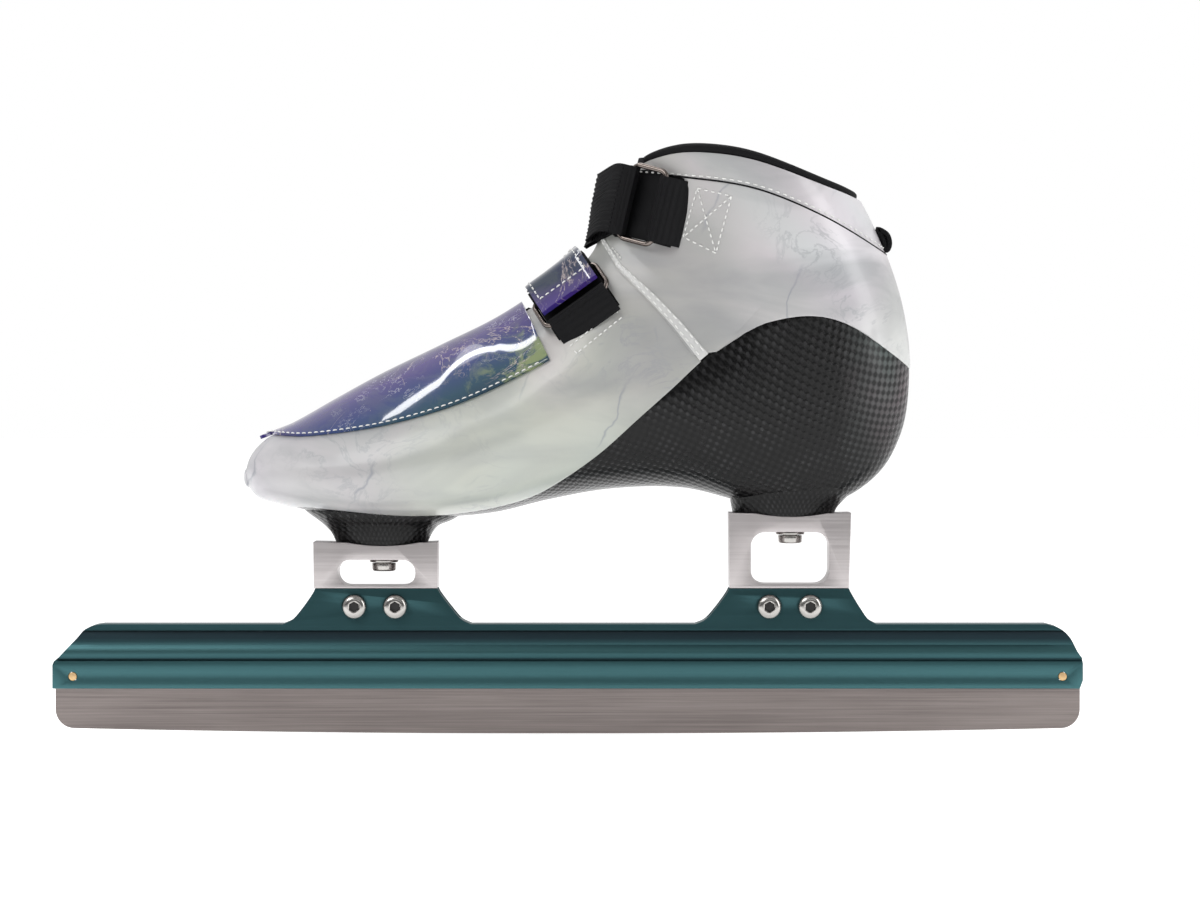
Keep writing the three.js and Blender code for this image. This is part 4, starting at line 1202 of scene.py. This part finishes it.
# x and z: the ring's middle in the side view; across: the way its long side runs there;
# distances along a strap start at the ring's middle and grow over the instep
buckles = {
    "vamp": {"x": 3.4, "z": 180.0, "across": (0.835, 0.55), "width": 29.0, "loopTo": 15.8, "farEnd": 72,
             "bend": 0.0, "stand": 0.0, "tabName": "vampStrapTab", "tabBody": "vamp_tab",
             "tabNode": "vamp_strap_tab", "tabWidth": 27.0, "tabThickness": 1.9, "tabFront": -4.5,
             "tabEnd": 31.5, "tabRise": 7.9, "tabRest": 3.4, "seam": 2.8, "hinge": 11.5, "bendBefore": 3.0},
    "ankle": {"x": 33.6, "z": 219.8, "across": (0.27, 0.963), "width": 29.0, "loopTo": 17.0, "farEnd": 90,
              "bend": 9.5, "stand": 4.5, "tabName": "ankleStrapTail", "tabBody": "ankle_tail",
              "tabNode": "ankle_strap_tail", "tabWidth": 29.0, "tabThickness": 1.5, "tabFront": 11.5,
              "tabEnd": 26.5, "tabRise": 6.2, "tabRest": 2.9, "hinge": 11.5, "bendBefore": 0.0},
}
wireRing = {"length": 31.0, "width": 17.0, "wire": 2.2, "lift": 4.6, "corner": 3.6}
strapCloth = {"thickness": 1.5, "low": 0.7, "rib": 1.9, "ribDepth": 0.26}


def buckleFrame(buckle):
    u, angle = findSkin(buckle["x"], buckle["z"])
    normal = skinNormal(u, -angle)
    lengthwise = Vector((buckle["across"][0], 0, buckle["across"][1]))
    lengthwise = (lengthwise - normal * lengthwise.dot(normal)).normalized()
    run = lengthwise.cross(normal).normalized()
    if run.z > 0:
        run = -run
    return {"origin": bootPoint(u, -angle, 0), "normal": normal, "long": lengthwise, "run": run,
            "angle": -angle}


def makeRing(name, place):
    route = roundedBox(0, 0, wireRing["width"], wireRing["length"], wireRing["corner"], 9)
    centre = place["origin"] + place["normal"] * wireRing["lift"] * mm
    path = [centre + (place["run"] * a + place["long"] * b) * mm for a, b in route]
    radius = wireRing["wire"] / 2
    ring = tubePiece(name + "Ring", path, roundSection(radius, radius, 14), ringFinish, closed=True,
                     ups=[place["normal"]] * len(path))
    settle(ring, "boot", "ring_metal", name + "_ring")


def stripSpot(buckle, place, cross, angle):
    # the skin section where the strap's lengthwise line, cross millimetres off its middle, passes this angle
    share = min(abs(angle / place["angle"]), 1.0)
    sag = buckle["bend"] * math.cos(math.pi / 2 * share) ** 2

    def over(u):
        point = skinPoint(u, angle)
        offset = (point.x - buckle["x"]) * buckle["across"][0] + (point.z - buckle["z"]) * buckle["across"][1]
        return offset - cross + sag
    return findRoot(over, 0.25, 0.97)


def stripCurves(buckle, place):
    # for every lengthwise line of the strap: a table of distance from the ring's middle against angle
    curves = []
    first, last = place["angle"] - 0.45, 2.2
    angles = [first + (last - first) * i / 120 for i in range(121)]
    for column in range(strapColumns + 1):
        cross = (column / strapColumns - 0.5) * buckle["width"]
        spots = [(stripSpot(buckle, place, cross, angle), angle) for angle in angles]
        points = [bootPoint(u, a, 2.0) for u, a in spots]
        lengths = [0.0]
        for a, b in zip(points, points[1:]):
            lengths.append(lengths[-1] + (b - a).length / mm)
        start = 0.0
        for i in range(len(angles) - 1):
            before = (points[i] - place["origin"]).dot(place["run"])
            after = (points[i + 1] - place["origin"]).dot(place["run"])
            if before >= 0 > after:
                start = lengths[i] + (lengths[i + 1] - lengths[i]) * before / (before - after)
                break
        curves.append((spots, [value - start for value in lengths]))
    return curves


def onStrip(curves, column, distance, height):
    # distance grows from the ring's middle over the instep to the far side
    spots, lengths = curves[column]
    for i in range(len(lengths) - 1):
        if distance <= lengths[i + 1] or i == len(lengths) - 2:
            share = (distance - lengths[i]) / (lengths[i + 1] - lengths[i])
            (u0, a0), (u1, a1) = spots[i], spots[i + 1]
            return bootPoint(u0 + (u1 - u0) * share, a0 + (a1 - a0) * share, height)


def closeSheet(name, top, under, finish, spanLength, spanWidth):
    # two matching grids of points joined round their rim into one closed solid
    rows, columns, size = len(top) - 1, strapColumns, strapColumns + 1
    points = [point for row in [*top, *under] for point in row]
    second = size * (rows + 1)
    faces = []
    for i in range(rows):
        for j in range(columns):
            a, b, c, d = i * size + j, i * size + j + 1, (i + 1) * size + j + 1, (i + 1) * size + j
            faces.append((a, b, c, d))
            faces.append((second + d, second + c, second + b, second + a))
    rim = [j for j in range(columns)] + [i * size + columns for i in range(rows)]
    rim += [rows * size + j for j in range(columns, 0, -1)] + [i * size for i in range(rows, 0, -1)]
    for a, b in closedRuns(rim):
        faces.append((b, a, second + a, second + b))
    piece = meshPiece(name, points, faces, finish)
    layer = piece.data.uv_layers[0].data
    for loop in piece.data.loops:
        row, column = divmod(loop.vertex_index % second, size)
        layer[loop.index].uv = (column / columns * spanWidth * mm, row / rows * spanLength * mm)
    recalculate(piece)
    smoothShade(piece, 60)
    return piece


def ribs(distance, edge):
    # cross ribs that fade out at the woven edges
    fade = min(edge * 14, 1.0)
    return strapCloth["ribDepth"] * math.sin(turn * distance / strapCloth["rib"]) * fade


def standOff(buckle, share, distance):
    # where the strap bridges the front of the ankle instead of lying on it
    return buckle["stand"] * share * math.exp(-((distance - 27) / 10) ** 2)


def makeStrap(name, buckle, place, curves):
    bar = wireRing["width"] / 2
    hold = wireRing["wire"] / 2 + 0.35
    thick = strapCloth["thickness"]
    centre = place["origin"] + (place["normal"] * wireRing["lift"] - place["run"] * bar) * mm
    rows = []
    flatSteps = 150
    flatFrom, riseOver = bar + 2.5, 8.0
    reach = buckle["farEnd"] - flatFrom
    for i in range(flatSteps + 1):
        distance = buckle["farEnd"] - reach * i / flatSteps
        rows.append(("flat", distance, max(0.0, 1 - (distance - flatFrom) / riseOver) ** 2))
    for i in range(19):
        rows.append(("fold", math.pi * i / 18, 1.0))
    for i in range(8):
        rows.append(("back", i / 7 * 4.0, 1.0))
    top, under = [], []
    for kind, value, rise in rows:
        topRow, underRow = [], []
        for j in range(strapColumns + 1):
            share = j / strapColumns
            edge = min(share, 1 - share)
            cross = (share - 0.5) * buckle["width"]
            if kind == "flat":
                ripple = ribs(value, edge)
                foldPoint = centre + place["long"] * cross * mm - place["run"] * (value - bar) * mm
                low = strapCloth["low"] + standOff(buckle, share, value)
                inner = onStrip(curves, j, value, low)
                outer = onStrip(curves, j, value, low + thick + ripple)
                targetInner = foldPoint - place["normal"] * (hold + thick) * mm
                targetOuter = foldPoint - place["normal"] * (hold - ripple) * mm
                underRow.append(inner.lerp(targetInner, rise))
                topRow.append(outer.lerp(targetOuter, rise))
            else:
                ripple = ribs(-value * 2.4 if kind == "fold" else value + 7.5, edge)
                if kind == "fold":
                    around = place["run"] * math.sin(value) - place["normal"] * math.cos(value)
                    middle = centre + place["long"] * cross * mm
                    topRow.append(middle + around * hold * mm)
                    underRow.append(middle + around * (hold + thick + ripple) * mm)
                else:
                    middle = centre + (place["long"] * cross - place["run"] * value) * mm
                    topRow.append(middle + place["normal"] * hold * mm)
                    underRow.append(middle + place["normal"] * (hold + thick + ripple) * mm)
        top.append(topRow)
        under.append(underRow)
    strap = closeSheet(name + "Strap", top, under, webbingFinish, reach + 12, buckle["width"])
    settle(strap, "boot", "black_webbing", name + "_strap")


def makeLoop(name, buckle, place, curves):
    # the sewn loop: out of its slit, over the ring's lower bar, round it and back under itself
    bar = wireRing["width"] / 2
    hold = wireRing["wire"] / 2 + 0.3
    thick = 1.3
    centre = place["origin"] + (place["normal"] * wireRing["lift"] + place["run"] * bar) * mm
    end = buckle["loopTo"]
    width = buckle["width"] - 1.5
    top, under = [], []
    outRows = 56
    rows = []
    for i in range(outRows + 1):
        share = 1 - i / outRows
        away = (end - bar + 1.0) * share
        rows.append((away, hold, 1, share))
    for i in range(1, 13):
        rows.append((None, math.pi * i / 12, 0, 0))
    for i in range(1, 9):
        rows.append(((end - bar - 3) * i / 8, -hold, -1, i / 8 * 0.8))
    for away, value, kind, share in rows:
        topRow, underRow = [], []
        for j in range(strapColumns + 1):
            cross = (j / strapColumns - 0.5) * width
            edge = min(j / strapColumns, 1 - j / strapColumns)
            middle = centre + place["long"] * cross * mm
            if kind == 0:
                around = place["normal"] * math.cos(value) - place["run"] * math.sin(value)
                ripple = ribs(value * 2.2, edge)
                underRow.append(middle + around * hold * mm)
                topRow.append(middle + around * (hold + thick + ripple) * mm)
            else:
                sink = (8.6 if kind > 0 else 2.2) * share ** 1.6
                ripple = ribs(away + 5, edge)
                base = middle + (place["run"] * away - place["normal"] * sink) * mm
                underRow.append(base + place["normal"] * value * mm)
                topRow.append(base + place["normal"] * (value + kind * (thick + ripple)) * mm)
        top.append(topRow)
        under.append(underRow)
    loop = closeSheet(name + "RingLoop", top, under, webbingFinish, 30, width)
    # the underlay on the leather below the ring; its first row dips into the slit
    top, under = [], []
    first, last = 1.5 - end, bar + 5.0
    for i in range(61):
        distance = first + (last - first) * i / 60
        upper, lower = (0.35, -0.3) if i else (-1.25, -1.7)
        top.append([onStrip(curves, j, distance, upper) for j in range(strapColumns + 1)])
        under.append([onStrip(curves, j, distance, lower) for j in range(strapColumns + 1)])
    underlay = closeSheet(name + "Underlay", top, under, webbingFinish, 40, width)
    loop = joinPieces(name + "RingLoop", [loop, underlay])
    settle(loop, "boot", "black_webbing", name + "_ring_loop")


def tabPoint(buckle, place, curves, j, distance, height):
    # level with the ring in front of the hinge line, then easing down on to the strap behind it
    cross = (j / strapColumns - 0.5) * buckle["tabWidth"]
    level = place["origin"] + (place["normal"] * (buckle["tabRise"] + height) + place["long"] * cross
                               - place["run"] * distance) * mm
    share = min(max((distance - buckle["hinge"]) / 15.0, 0.0), 1.0)
    share = share * share * (3 - 2 * share)
    rest = buckle["tabRest"] + standOff(buckle, j / strapColumns, distance) + height
    return level.lerp(onStrip(curves, j, distance, rest), share)


def bendSpan(buckle, place):
    # two points that mark the short length of tab about its hinge line, where the real tab bends when its
    # tail is peeled up
    first, last = buckle["hinge"] - buckle["bendBefore"], buckle["hinge"] + 4.0
    level = place["origin"] + place["normal"] * buckle["tabRise"] * mm
    return level - place["run"] * first * mm, level - place["run"] * last * mm


def makeTab(buckle, place, curves, finish, slot, relief):
    start, end, thick = buckle["tabFront"], buckle["tabEnd"], buckle["tabThickness"]
    rows = int((end - start) * 4)
    top, under = [], []
    for i in range(rows + 1):
        distance = start + (end - start) * i / rows
        top.append([tabPoint(buckle, place, curves, j, distance, thick + relief(j / strapColumns))
                    for j in range(strapColumns + 1)])
        under.append([tabPoint(buckle, place, curves, j, distance, 0.0) for j in range(strapColumns + 1)])
    tab = closeSheet(buckle["tabName"], top, under, finish, end - start, buckle["tabWidth"])
    settleBent(tab, buckle["tabBody"], *bendSpan(buckle, place), slot, buckle["tabNode"])


def cushion(share):
    # the padded patent tab swells between its edges
    return 0.45 * min(min(share, 1 - share) * 9, 1) ** 0.5


def wovenRibs(share):
    # the ankle tail's ribs run lengthwise
    return strapCloth["ribDepth"] * math.sin(turn * share * buckles["ankle"]["tabWidth"] / strapCloth["rib"])


def makeTabStitches(buckle, place, curves):
    # a closed seam round the tab, all of it behind the ring's upper bar
    points, faces = [], []
    rear, seam, height = buckle["tabEnd"] - 2.5, buckle["seam"], buckle["tabThickness"] + 0.45
    inner, outer = 4, strapColumns - 4
    for (d0, j0), (d1, j1) in closedRuns([(rear, inner), (seam, inner), (seam, outer), (rear, outer)]):
        path, normals = [], []
        for k in range(25):
            d, j = d0 + (d1 - d0) * k / 24, round(j0 + (j1 - j0) * k / 24)
            path.append(tabPoint(buckle, place, curves, j, d, height))
            normals.append((path[-1] - tabPoint(buckle, place, curves, j, d, height - 3)).normalized())
        stitchLine(points, faces, path, normals, length=1.9, gap=0.9)
    stitches = stitchPiece("vampTabStitches", points, faces)
    settleBent(stitches, buckle["tabBody"], *bendSpan(buckle, place), "white_leather")


for name, buckle in buckles.items():
    place = buckleFrame(buckle)
    curves = stripCurves(buckle, place)
    makeRing(name, place)
    makeStrap(name, buckle, place, curves)
    makeLoop(name, buckle, place, curves)
    if name == "vamp":
        makeTab(buckle, place, curves, patentFinish, "patent", cushion)
        makeTabStitches(buckle, place, curves)
    else:
        makeTab(buckle, place, curves, webbingFinish, "black_webbing", wovenRibs)
    print(name, "strap ready")


# ---------- heel pull loop ----------
pullLoop = {"wall": 2.1, "width": 10.0}
pullLoopPath = [(129.4, 210.6), (131.3, 209.7), (133.2, 208.2), (134.1, 205.8), (134.1, 203.6),
                (133.2, 201.9), (132.2, 202.4), (131.9, 204.6), (131.1, 206.9), (129.9, 208.9)]


def makePullLoop():
    spots = curveThrough([*pullLoopPath, pullLoopPath[0]], 60)[:-1]
    path = [Vector((x, 0, z)) * mm for x, z in spots]
    half, thick = pullLoop["width"] / 2, pullLoop["wall"] / 2
    lower = [(-1, -0.6), (-0.9, -1), (0, -1.1), (0.9, -1), (1, -0.6)]
    section = [(half * mm * a, thick * mm * b) for a, b in [*lower, *[(-a, -b) for a, b in lower]]]
    ups = []
    for i in range(len(path)):
        tangent = (path[(i + 1) % len(path)] - path[i - 1]).normalized()
        ups.append(tangent.cross(Vector((0, 1, 0))).normalized())
    loop = tubePiece("heelLoop", path, section, webbingFinish, closed=True, ups=ups)
    settle(loop, "pull_loop", "black_webbing", "heel_loop")


makePullLoop()
print("heel loop ready")


# ---------- runner ----------
def onAxis(axis, a, b, depth):
    ordered = {"X": (depth, a, b), "Y": (a, depth, b), "Z": (a, b, depth)}
    return Vector(ordered[axis]) * mm


def ringPoints(spot, radius, sides, ahead=0.0):
    # points round a spot, turned ahead by a share of one side
    angles = [turn * (i + ahead) / sides for i in range(sides)]
    return [(spot[0] + radius * math.cos(angle), spot[1] + radius * math.sin(angle)) for angle in angles]


def prism(name, outline, low, high, finish, axis="Y"):
    # a closed outline pushed through from low to high along an axis, in millimetres
    size = len(outline)
    points = [onAxis(axis, a, b, depth) for depth in (low, high) for a, b in outline]
    faces = [tuple(range(size)), tuple(range(2 * size - 1, size - 1, -1))]
    faces += [(i, (i + 1) % size, size + (i + 1) % size, size + i) for i in range(size)]
    piece = meshPiece(name, points, faces, finish)
    recalculate(piece)
    return piece


def barrel(name, spot, diameter, low, high, finish, axis="Y", sides=64):
    return prism(name, ringPoints(spot, diameter / 2, sides), low, high, finish, axis)


def cut(piece, *tools, operation="DIFFERENCE"):
    for tool in tools:
        useModifier(piece, "BOOLEAN", operation=operation, solver="EXACT", object=tool)
        bpy.data.objects.remove(tool)


def roundOff(piece, width, segments=3, angle=32):
    bevelEdges(piece, width, segments, angle)
    smoothShade(piece, 32)


pinSpots = {"front": (-tubeShape["pinX"], tubeShape["pinZ"]), "rear": (tubeShape["pinX"], tubeShape["pinZ"])}
clampPlaces = {"front": (-88.8, -71.8), "rear": (84.0, 101.0)}
bladeShape = {"end": 214.0, "corner": 8.0, "flat": 8.0, "rocker": 9000.0, "top": 27.3, "half": 0.6,
              "pinHole": 3.8, "steps": 96, "cornerSteps": 12}
pinShape = {"diameter": 3.5, "half": 4.35}


def makeTube():
    def z(height):
        return tubeShape["bottom"] + height
    end, top, peak = tubeShape["end"], tubeShape["top"], tubeShape["peak"]
    bulge = [(4.45 + 1.15 * math.sin(math.pi * (0.12 + 0.76 * a)), z(12.6 + 5.8 * a))
             for a in [i / 8 for i in range(9)]]
    cove = [(9.0 - 3.9 * math.cos(angle), z(18.9 + 5.5 * math.sin(angle)))
            for angle in [math.pi / 24 * i for i in range(1, 12)]]
    right = [(0.9, z(0)), (3.9, z(0)), (4.2, z(0.3)), (4.2, z(11.5)), (3.75, z(11.8)), (3.75, z(12.3)),
             *bulge, (5.0, z(18.7)), *cove, (9.0, z(24.6)), (9.0, z(44))]
    left = [(-a, b) for a, b in reversed(right)]
    section = [*right, *left, (-0.9, z(8.7)), (0.9, z(8.7))]
    tube = prism("bladeTube", section, -end - 1, end + 1, anodisedFinish, "X")
    toeEnd = curveThrough([(-end + 2.6, z(13)), (-end + 6.6, z(17.2)), (-end + 11, z(21.8)),
                           (-end + 13.6, z(24.6)), (-end + 17.2, z(26.4)), (-end + 21, top)], 20)
    heelEnd = curveThrough([(end - 15.5, top), (end - 11, z(25.8)), (end - 7.6, z(23.6)), (end - 5, z(20.6)),
                            (end - 2.4, z(15.6)), (end - 0.5, z(12.9))], 20)

    def pedestal(first, last, leftRun, rightRun):
        rise = curveThrough([(first - leftRun, top), (first - leftRun * 0.72, top + 1.7),
                             (first - leftRun * 0.42, top + 6.2), (first - 0.6, peak - 1.4),
                             (first, peak)], 14)
        fall = curveThrough([(last, peak), (last + 0.8, peak - 1.6), (last + rightRun * 0.42, top + 6.6),
                             (last + rightRun * 0.72, top + 1.9), (last + rightRun, top)], 14)
        return rise + fall
    outline = [(-end, z(0)), (-end, z(9.9)), (-end + 0.7, z(11.5)), *toeEnd,
               *pedestal(-105.1, -54.1, 13.5, 14), *pedestal(67.2, 117.1, 14, 11.5), *heelEnd,
               (end, z(10.6)), (end, z(3.5)), (end - 1.3, z(0))]
    cut(tube, prism("side", outline, -20, 20, anodisedFinish), operation="INTERSECT")
    hollow = [(-3, z(13.4)), (3, z(13.4)), (3, z(19.4)), (5.4, z(23.8)), (-5.4, z(23.8)), (-3, z(19.4))]
    cut(tube, prism("hollow", hollow, -end - 2, end + 2, anodisedFinish, "X"))
    for low, high in ((-131.5, -28), (41.8, 143)):
        slot = [(-4.3, 48.4), (4.3, 48.4), (4.3, peak + 5), (-4.3, peak + 5)]
        cut(tube, prism("slot", slot, low, high, anodisedFinish, "X"))
    for spot in pinSpots.values():
        cut(tube, barrel("pinHole", spot, tubeShape["pinHole"], -20, 20, anodisedFinish, sides=40))
    for x in [*clampPlaces["front"], *clampPlaces["rear"]]:
        clampHole = barrel("clampHole", (x, tubeShape["clampZ"]), tubeShape["clampHole"], -20, 20,
                           anodisedFinish, sides=40)
        cut(tube, clampHole)
    mergeDoubles(tube, 0.000005)
    roundOff(tube, 0.00025, 2, 28)
    settle(tube, "runner", "teal_anodised", "blade_tube")


def rockerHeight(x):
    # the running edge rises towards both ends
    return max(abs(x) - bladeShape["flat"], 0) ** 2 / (2 * bladeShape["rocker"])


def bladeCorner(side):
    lower, corner = bladeShape["end"] - bladeShape["corner"], bladeShape["corner"]
    steps = bladeShape["cornerSteps"]
    angles = [math.pi / 2 * i / steps for i in range(1, steps + 1)]
    return [(side * (lower + corner * math.sin(angle)), rockerHeight(lower) + corner * (1 - math.cos(angle)))
            for angle in angles]


def makeBlade():
    end, top, half, steps = bladeShape["end"], bladeShape["top"], bladeShape["half"], bladeShape["steps"]
    lower = end - bladeShape["corner"]
    edge = [-lower + 2 * lower * i / steps for i in range(steps + 1)]
    outline = [*reversed(bladeCorner(-1)), *[(x, rockerHeight(x)) for x in edge], *bladeCorner(1),
               (end, top), (-end, top)]
    blade = prism("blade", outline, -half, half, bladeFinish)
    for spot in pinSpots.values():
        cut(blade, barrel("pinHole", spot, bladeShape["pinHole"], -5, 5, bladeFinish, sides=32))
    roundOff(blade, 0.00012, 1, 40)
    settle(blade, "runner", "blade_steel", "blade")


def makePins():
    for name, spot in pinSpots.items():
        rod = barrel(name + "BladePin", spot, pinShape["diameter"], -pinShape["half"], pinShape["half"],
                     brassFinish)
        roundOff(rod, 0.0003, 3)
        settle(rod, "runner", "brass", name + "_blade_pin")


# left and right: the cup's ends at its top and at its foot
cupShapes = {
    "front": {"left": (-105.65, -105.4), "right": (-53.95, -54.2), "top": 80.3, "windowX": -79.5,
              "windowLength": 32.5, "windowLow": 62.1, "windowHigh": 72.9, "corner": 5.2, "bolt": -76.7,
              "insertLow": 83.4},
    "rear": {"left": (67.1, 67.4), "right": (117.9, 116.9), "top": 92.5, "windowX": 92.5,
             "windowLength": 32.6, "windowLow": 62.7, "windowHigh": 84.5, "corner": 6.0, "bolt": 92.9,
             "insertLow": 95.6},
}
cupForm = {"bottom": 61.2, "half": 13, "slotLength": 15.0, "slotWidth": 7.0, "slotCorner": 3.4,
           "tongueLow": 48.8, "tongueHigh": 61.4, "tongueIn": 3, "tongueHalf": 4}


def makeCup(name, shape):
    left, right, bottom = shape["left"], shape["right"], cupForm["bottom"]
    seat = [shape["bolt"] + seatShape["chord"] * (0.5 - i / 24) for i in range(25)]
    dip = [(x, shape["top"] + seatDrop(x - shape["bolt"]) - 0.25) for x in seat]
    outline = [(left[1], bottom), (right[1], bottom), (right[0], shape["top"]), *dip, (left[0], shape["top"])]
    block = prism(name + "Cup", outline, -cupForm["half"], cupForm["half"], cupFinish)
    low, high = shape["windowLow"], shape["windowHigh"]
    window = roundedBox(shape["windowX"], (low + high) / 2, shape["windowLength"], high - low,
                        shape["corner"])
    cut(block, prism("window", window, -20, 20, cupFinish))
    slot = roundedBox(shape["bolt"], 0, cupForm["slotWidth"], cupForm["slotLength"], cupForm["slotCorner"])
    cut(block, prism("boltSlot", slot, low + 5, shape["top"] + 5, cupFinish, "Z"))
    roundOff(block, 0.00045, 3)
    first, last = left[1] + cupForm["tongueIn"], right[1] - cupForm["tongueIn"]
    plate = [(first, cupForm["tongueLow"]), (last, cupForm["tongueLow"]), (last, cupForm["tongueHigh"]),
             (first, cupForm["tongueHigh"])]
    tongue = prism("tongue", plate, -cupForm["tongueHalf"], cupForm["tongueHalf"], cupFinish)
    for x in clampPlaces[name]:
        clampHole = barrel("clampHole", (x, tubeShape["clampZ"]), tubeShape["clampHole"], -20, 20, cupFinish,
                           sides=32)
        cut(tongue, clampHole)
    roundOff(tongue, 0.0003, 2)
    cup = joinPieces(name + "Cup", [block, tongue])
    settle(cup, "runner", "cup_aluminium", name + "_cup")


def hexOutline(spot, across):
    return ringPoints(spot, across / math.sqrt(3), 6, 0.5)


def turned(name, spot, profile, finish, axis="Y", sides=64):
    # a turned piece: profile is (radius, depth) pairs from one end of its axis to the other
    points, faces = [], []
    for radius, depth in profile:
        points += [onAxis(axis, a, b, depth) for a, b in ringPoints(spot, radius, sides)]
    for i in range(len(profile) - 1):
        for k in range(sides):
            k2 = (k + 1) % sides
            faces.append((i * sides + k, i * sides + k2, (i + 1) * sides + k2, (i + 1) * sides + k))
    last = (len(profile) - 1) * sides
    faces += [tuple(reversed(range(sides))), tuple(range(last, last + sides))]
    piece = meshPiece(name, points, faces, finish)
    recalculate(piece)
    return piece


# depths run across the skate, from the near side to the far one
clampScrew = {"face": -9.3, "head": 3.2, "radius": 5.25, "domeTop": 2.6, "socket": 4.0, "shank": 3.0,
              "end": 15.4}
clampNut = {"across": 10.0, "low": 9.3, "high": 14.3}
nutEnds = [(4.9, 9), (5.55, 9.6), (5.9, 10.4), (5.9, 13.2), (5.55, 14), (4.9, 14.6)]
mountBolt = {"head": 5.0, "headHeight": 3.4, "socket": 5.0, "shank": 3.0, "washer": 12, "washerHeight": 1,
             "insert": 12, "insertHeight": 6.5, "bore": 6.6}


def makeClampScrew(name, number, spot):
    face, height, radius = clampScrew["face"], clampScrew["head"], clampScrew["radius"]
    crown, shank, end = clampScrew["domeTop"], clampScrew["shank"], clampScrew["end"]
    top, domeHeight = face - height, height * 0.86
    dome = [(crown + (radius - crown) * math.sin(angle), top + domeHeight * (1 - math.cos(angle)))
            for angle in [math.pi / 20 * i for i in range(11)]]
    profile = [*dome, (radius, face - 0.15), (radius - 0.15, face), (shank, face), (shank, end - 0.4),
               (shank - 0.4, end)]
    screw = turned(f"{name}ClampScrew{number}", spot, profile, polishedFinish)
    cut(screw, prism("socket", hexOutline(spot, clampScrew["socket"]), face - height - 1, face - height + 2.2,
                     polishedFinish))
    roundOff(screw, 0.00012, 2, 40)
    settle(screw, "runner", "polished_steel", f"{name}_clamp_screw_{number}")
    # painted shade: a dark hex plate at the bottom of the socket
    socketShadePlate = prism(f"{name}SocketShadePlate{number}", hexOutline(spot, clampScrew["socket"] - 0.3),
                        face - height + 1.2, face - height + 2.1, socketShadePaint)
    settle(socketShadePlate, "runner", "polished_steel")


def makeClampNut(name, number, spot):
    nut = prism(f"{name}ClampNut{number}", hexOutline(spot, clampNut["across"]), clampNut["low"],
                clampNut["high"], polishedFinish)
    cut(nut, turned("nutEnd", spot, nutEnds, polishedFinish), operation="INTERSECT")
    cut(nut, barrel("bore", spot, tubeShape["clampHole"], 0, 30, polishedFinish, sides=40))
    roundOff(nut, 0.00015, 2, 40)
    settle(nut, "runner", "polished_steel", f"{name}_clamp_nut_{number}")


def makeClamps():
    for name, places in clampPlaces.items():
        for number, x in enumerate(places, 1):
            makeClampScrew(name, number, (x, tubeShape["clampZ"]))
            makeClampNut(name, number, (x, tubeShape["clampZ"]))


def makeCollar(title, spot, diameter, low, high, finish):
    # a short upright ring: a washer or a sole insert
    ring = barrel(title, spot, diameter, low, high, finish, "Z")
    cut(ring, barrel("bore", spot, mountBolt["bore"], low - 5, high + 5, finish, "Z", 40))
    roundOff(ring, 0.0002, 2)
    return ring


def makeMountBolts():
    radius, height, shank = mountBolt["head"], mountBolt["headHeight"], mountBolt["shank"]
    for name, shape in cupShapes.items():
        spot = (shape["bolt"], 0)
        washerTop = shape["windowHigh"] - 0.3
        headTop = washerTop - 1.3
        low = shape["insertLow"]
        tip = low + mountBolt["insertHeight"]
        profile = [(4.2, headTop - height), (radius - 0.2, headTop - 3.1), (radius, headTop - 2.6),
                   (radius, headTop - 0.2), (radius - 0.2, headTop), (shank, headTop), (shank, tip - 0.3),
                   (shank - 0.3, tip)]
        bolt = turned(name + "MountBolt", spot, profile, polishedFinish, "Z")
        socket = hexOutline(spot, mountBolt["socket"])
        cut(bolt, prism("socket", socket, headTop - 5, headTop - 1.4, polishedFinish, "Z"))
        roundOff(bolt, 0.00012, 2, 40)
        settle(bolt, "boot", "polished_steel", name + "_mount_bolt")
        washer = makeCollar(name + "MountWasher", spot, mountBolt["washer"],
                            washerTop - mountBolt["washerHeight"], washerTop, polishedFinish)
        settle(washer, "boot", "polished_steel", name + "_mount_washer")
        insert = makeCollar(name + "SoleInsert", spot, mountBolt["insert"], low, tip, brassFinish)
        settle(insert, "boot", "brass", name + "_sole_insert")


makeBlade()
makeTube()
makePins()
for name, shape in cupShapes.items():
    makeCup(name, shape)
makeClamps()
makeMountBolts()
print("runner ready")


# ---------- floor ----------
def makeFloor():
    bpy.ops.mesh.primitive_plane_add(size=14, location=(0, 4, -0.0002))
    floor = bpy.context.object
    floor.name = "paleFloor"
    floor.data.materials.append(makeFloorPaint())


makeFloor()
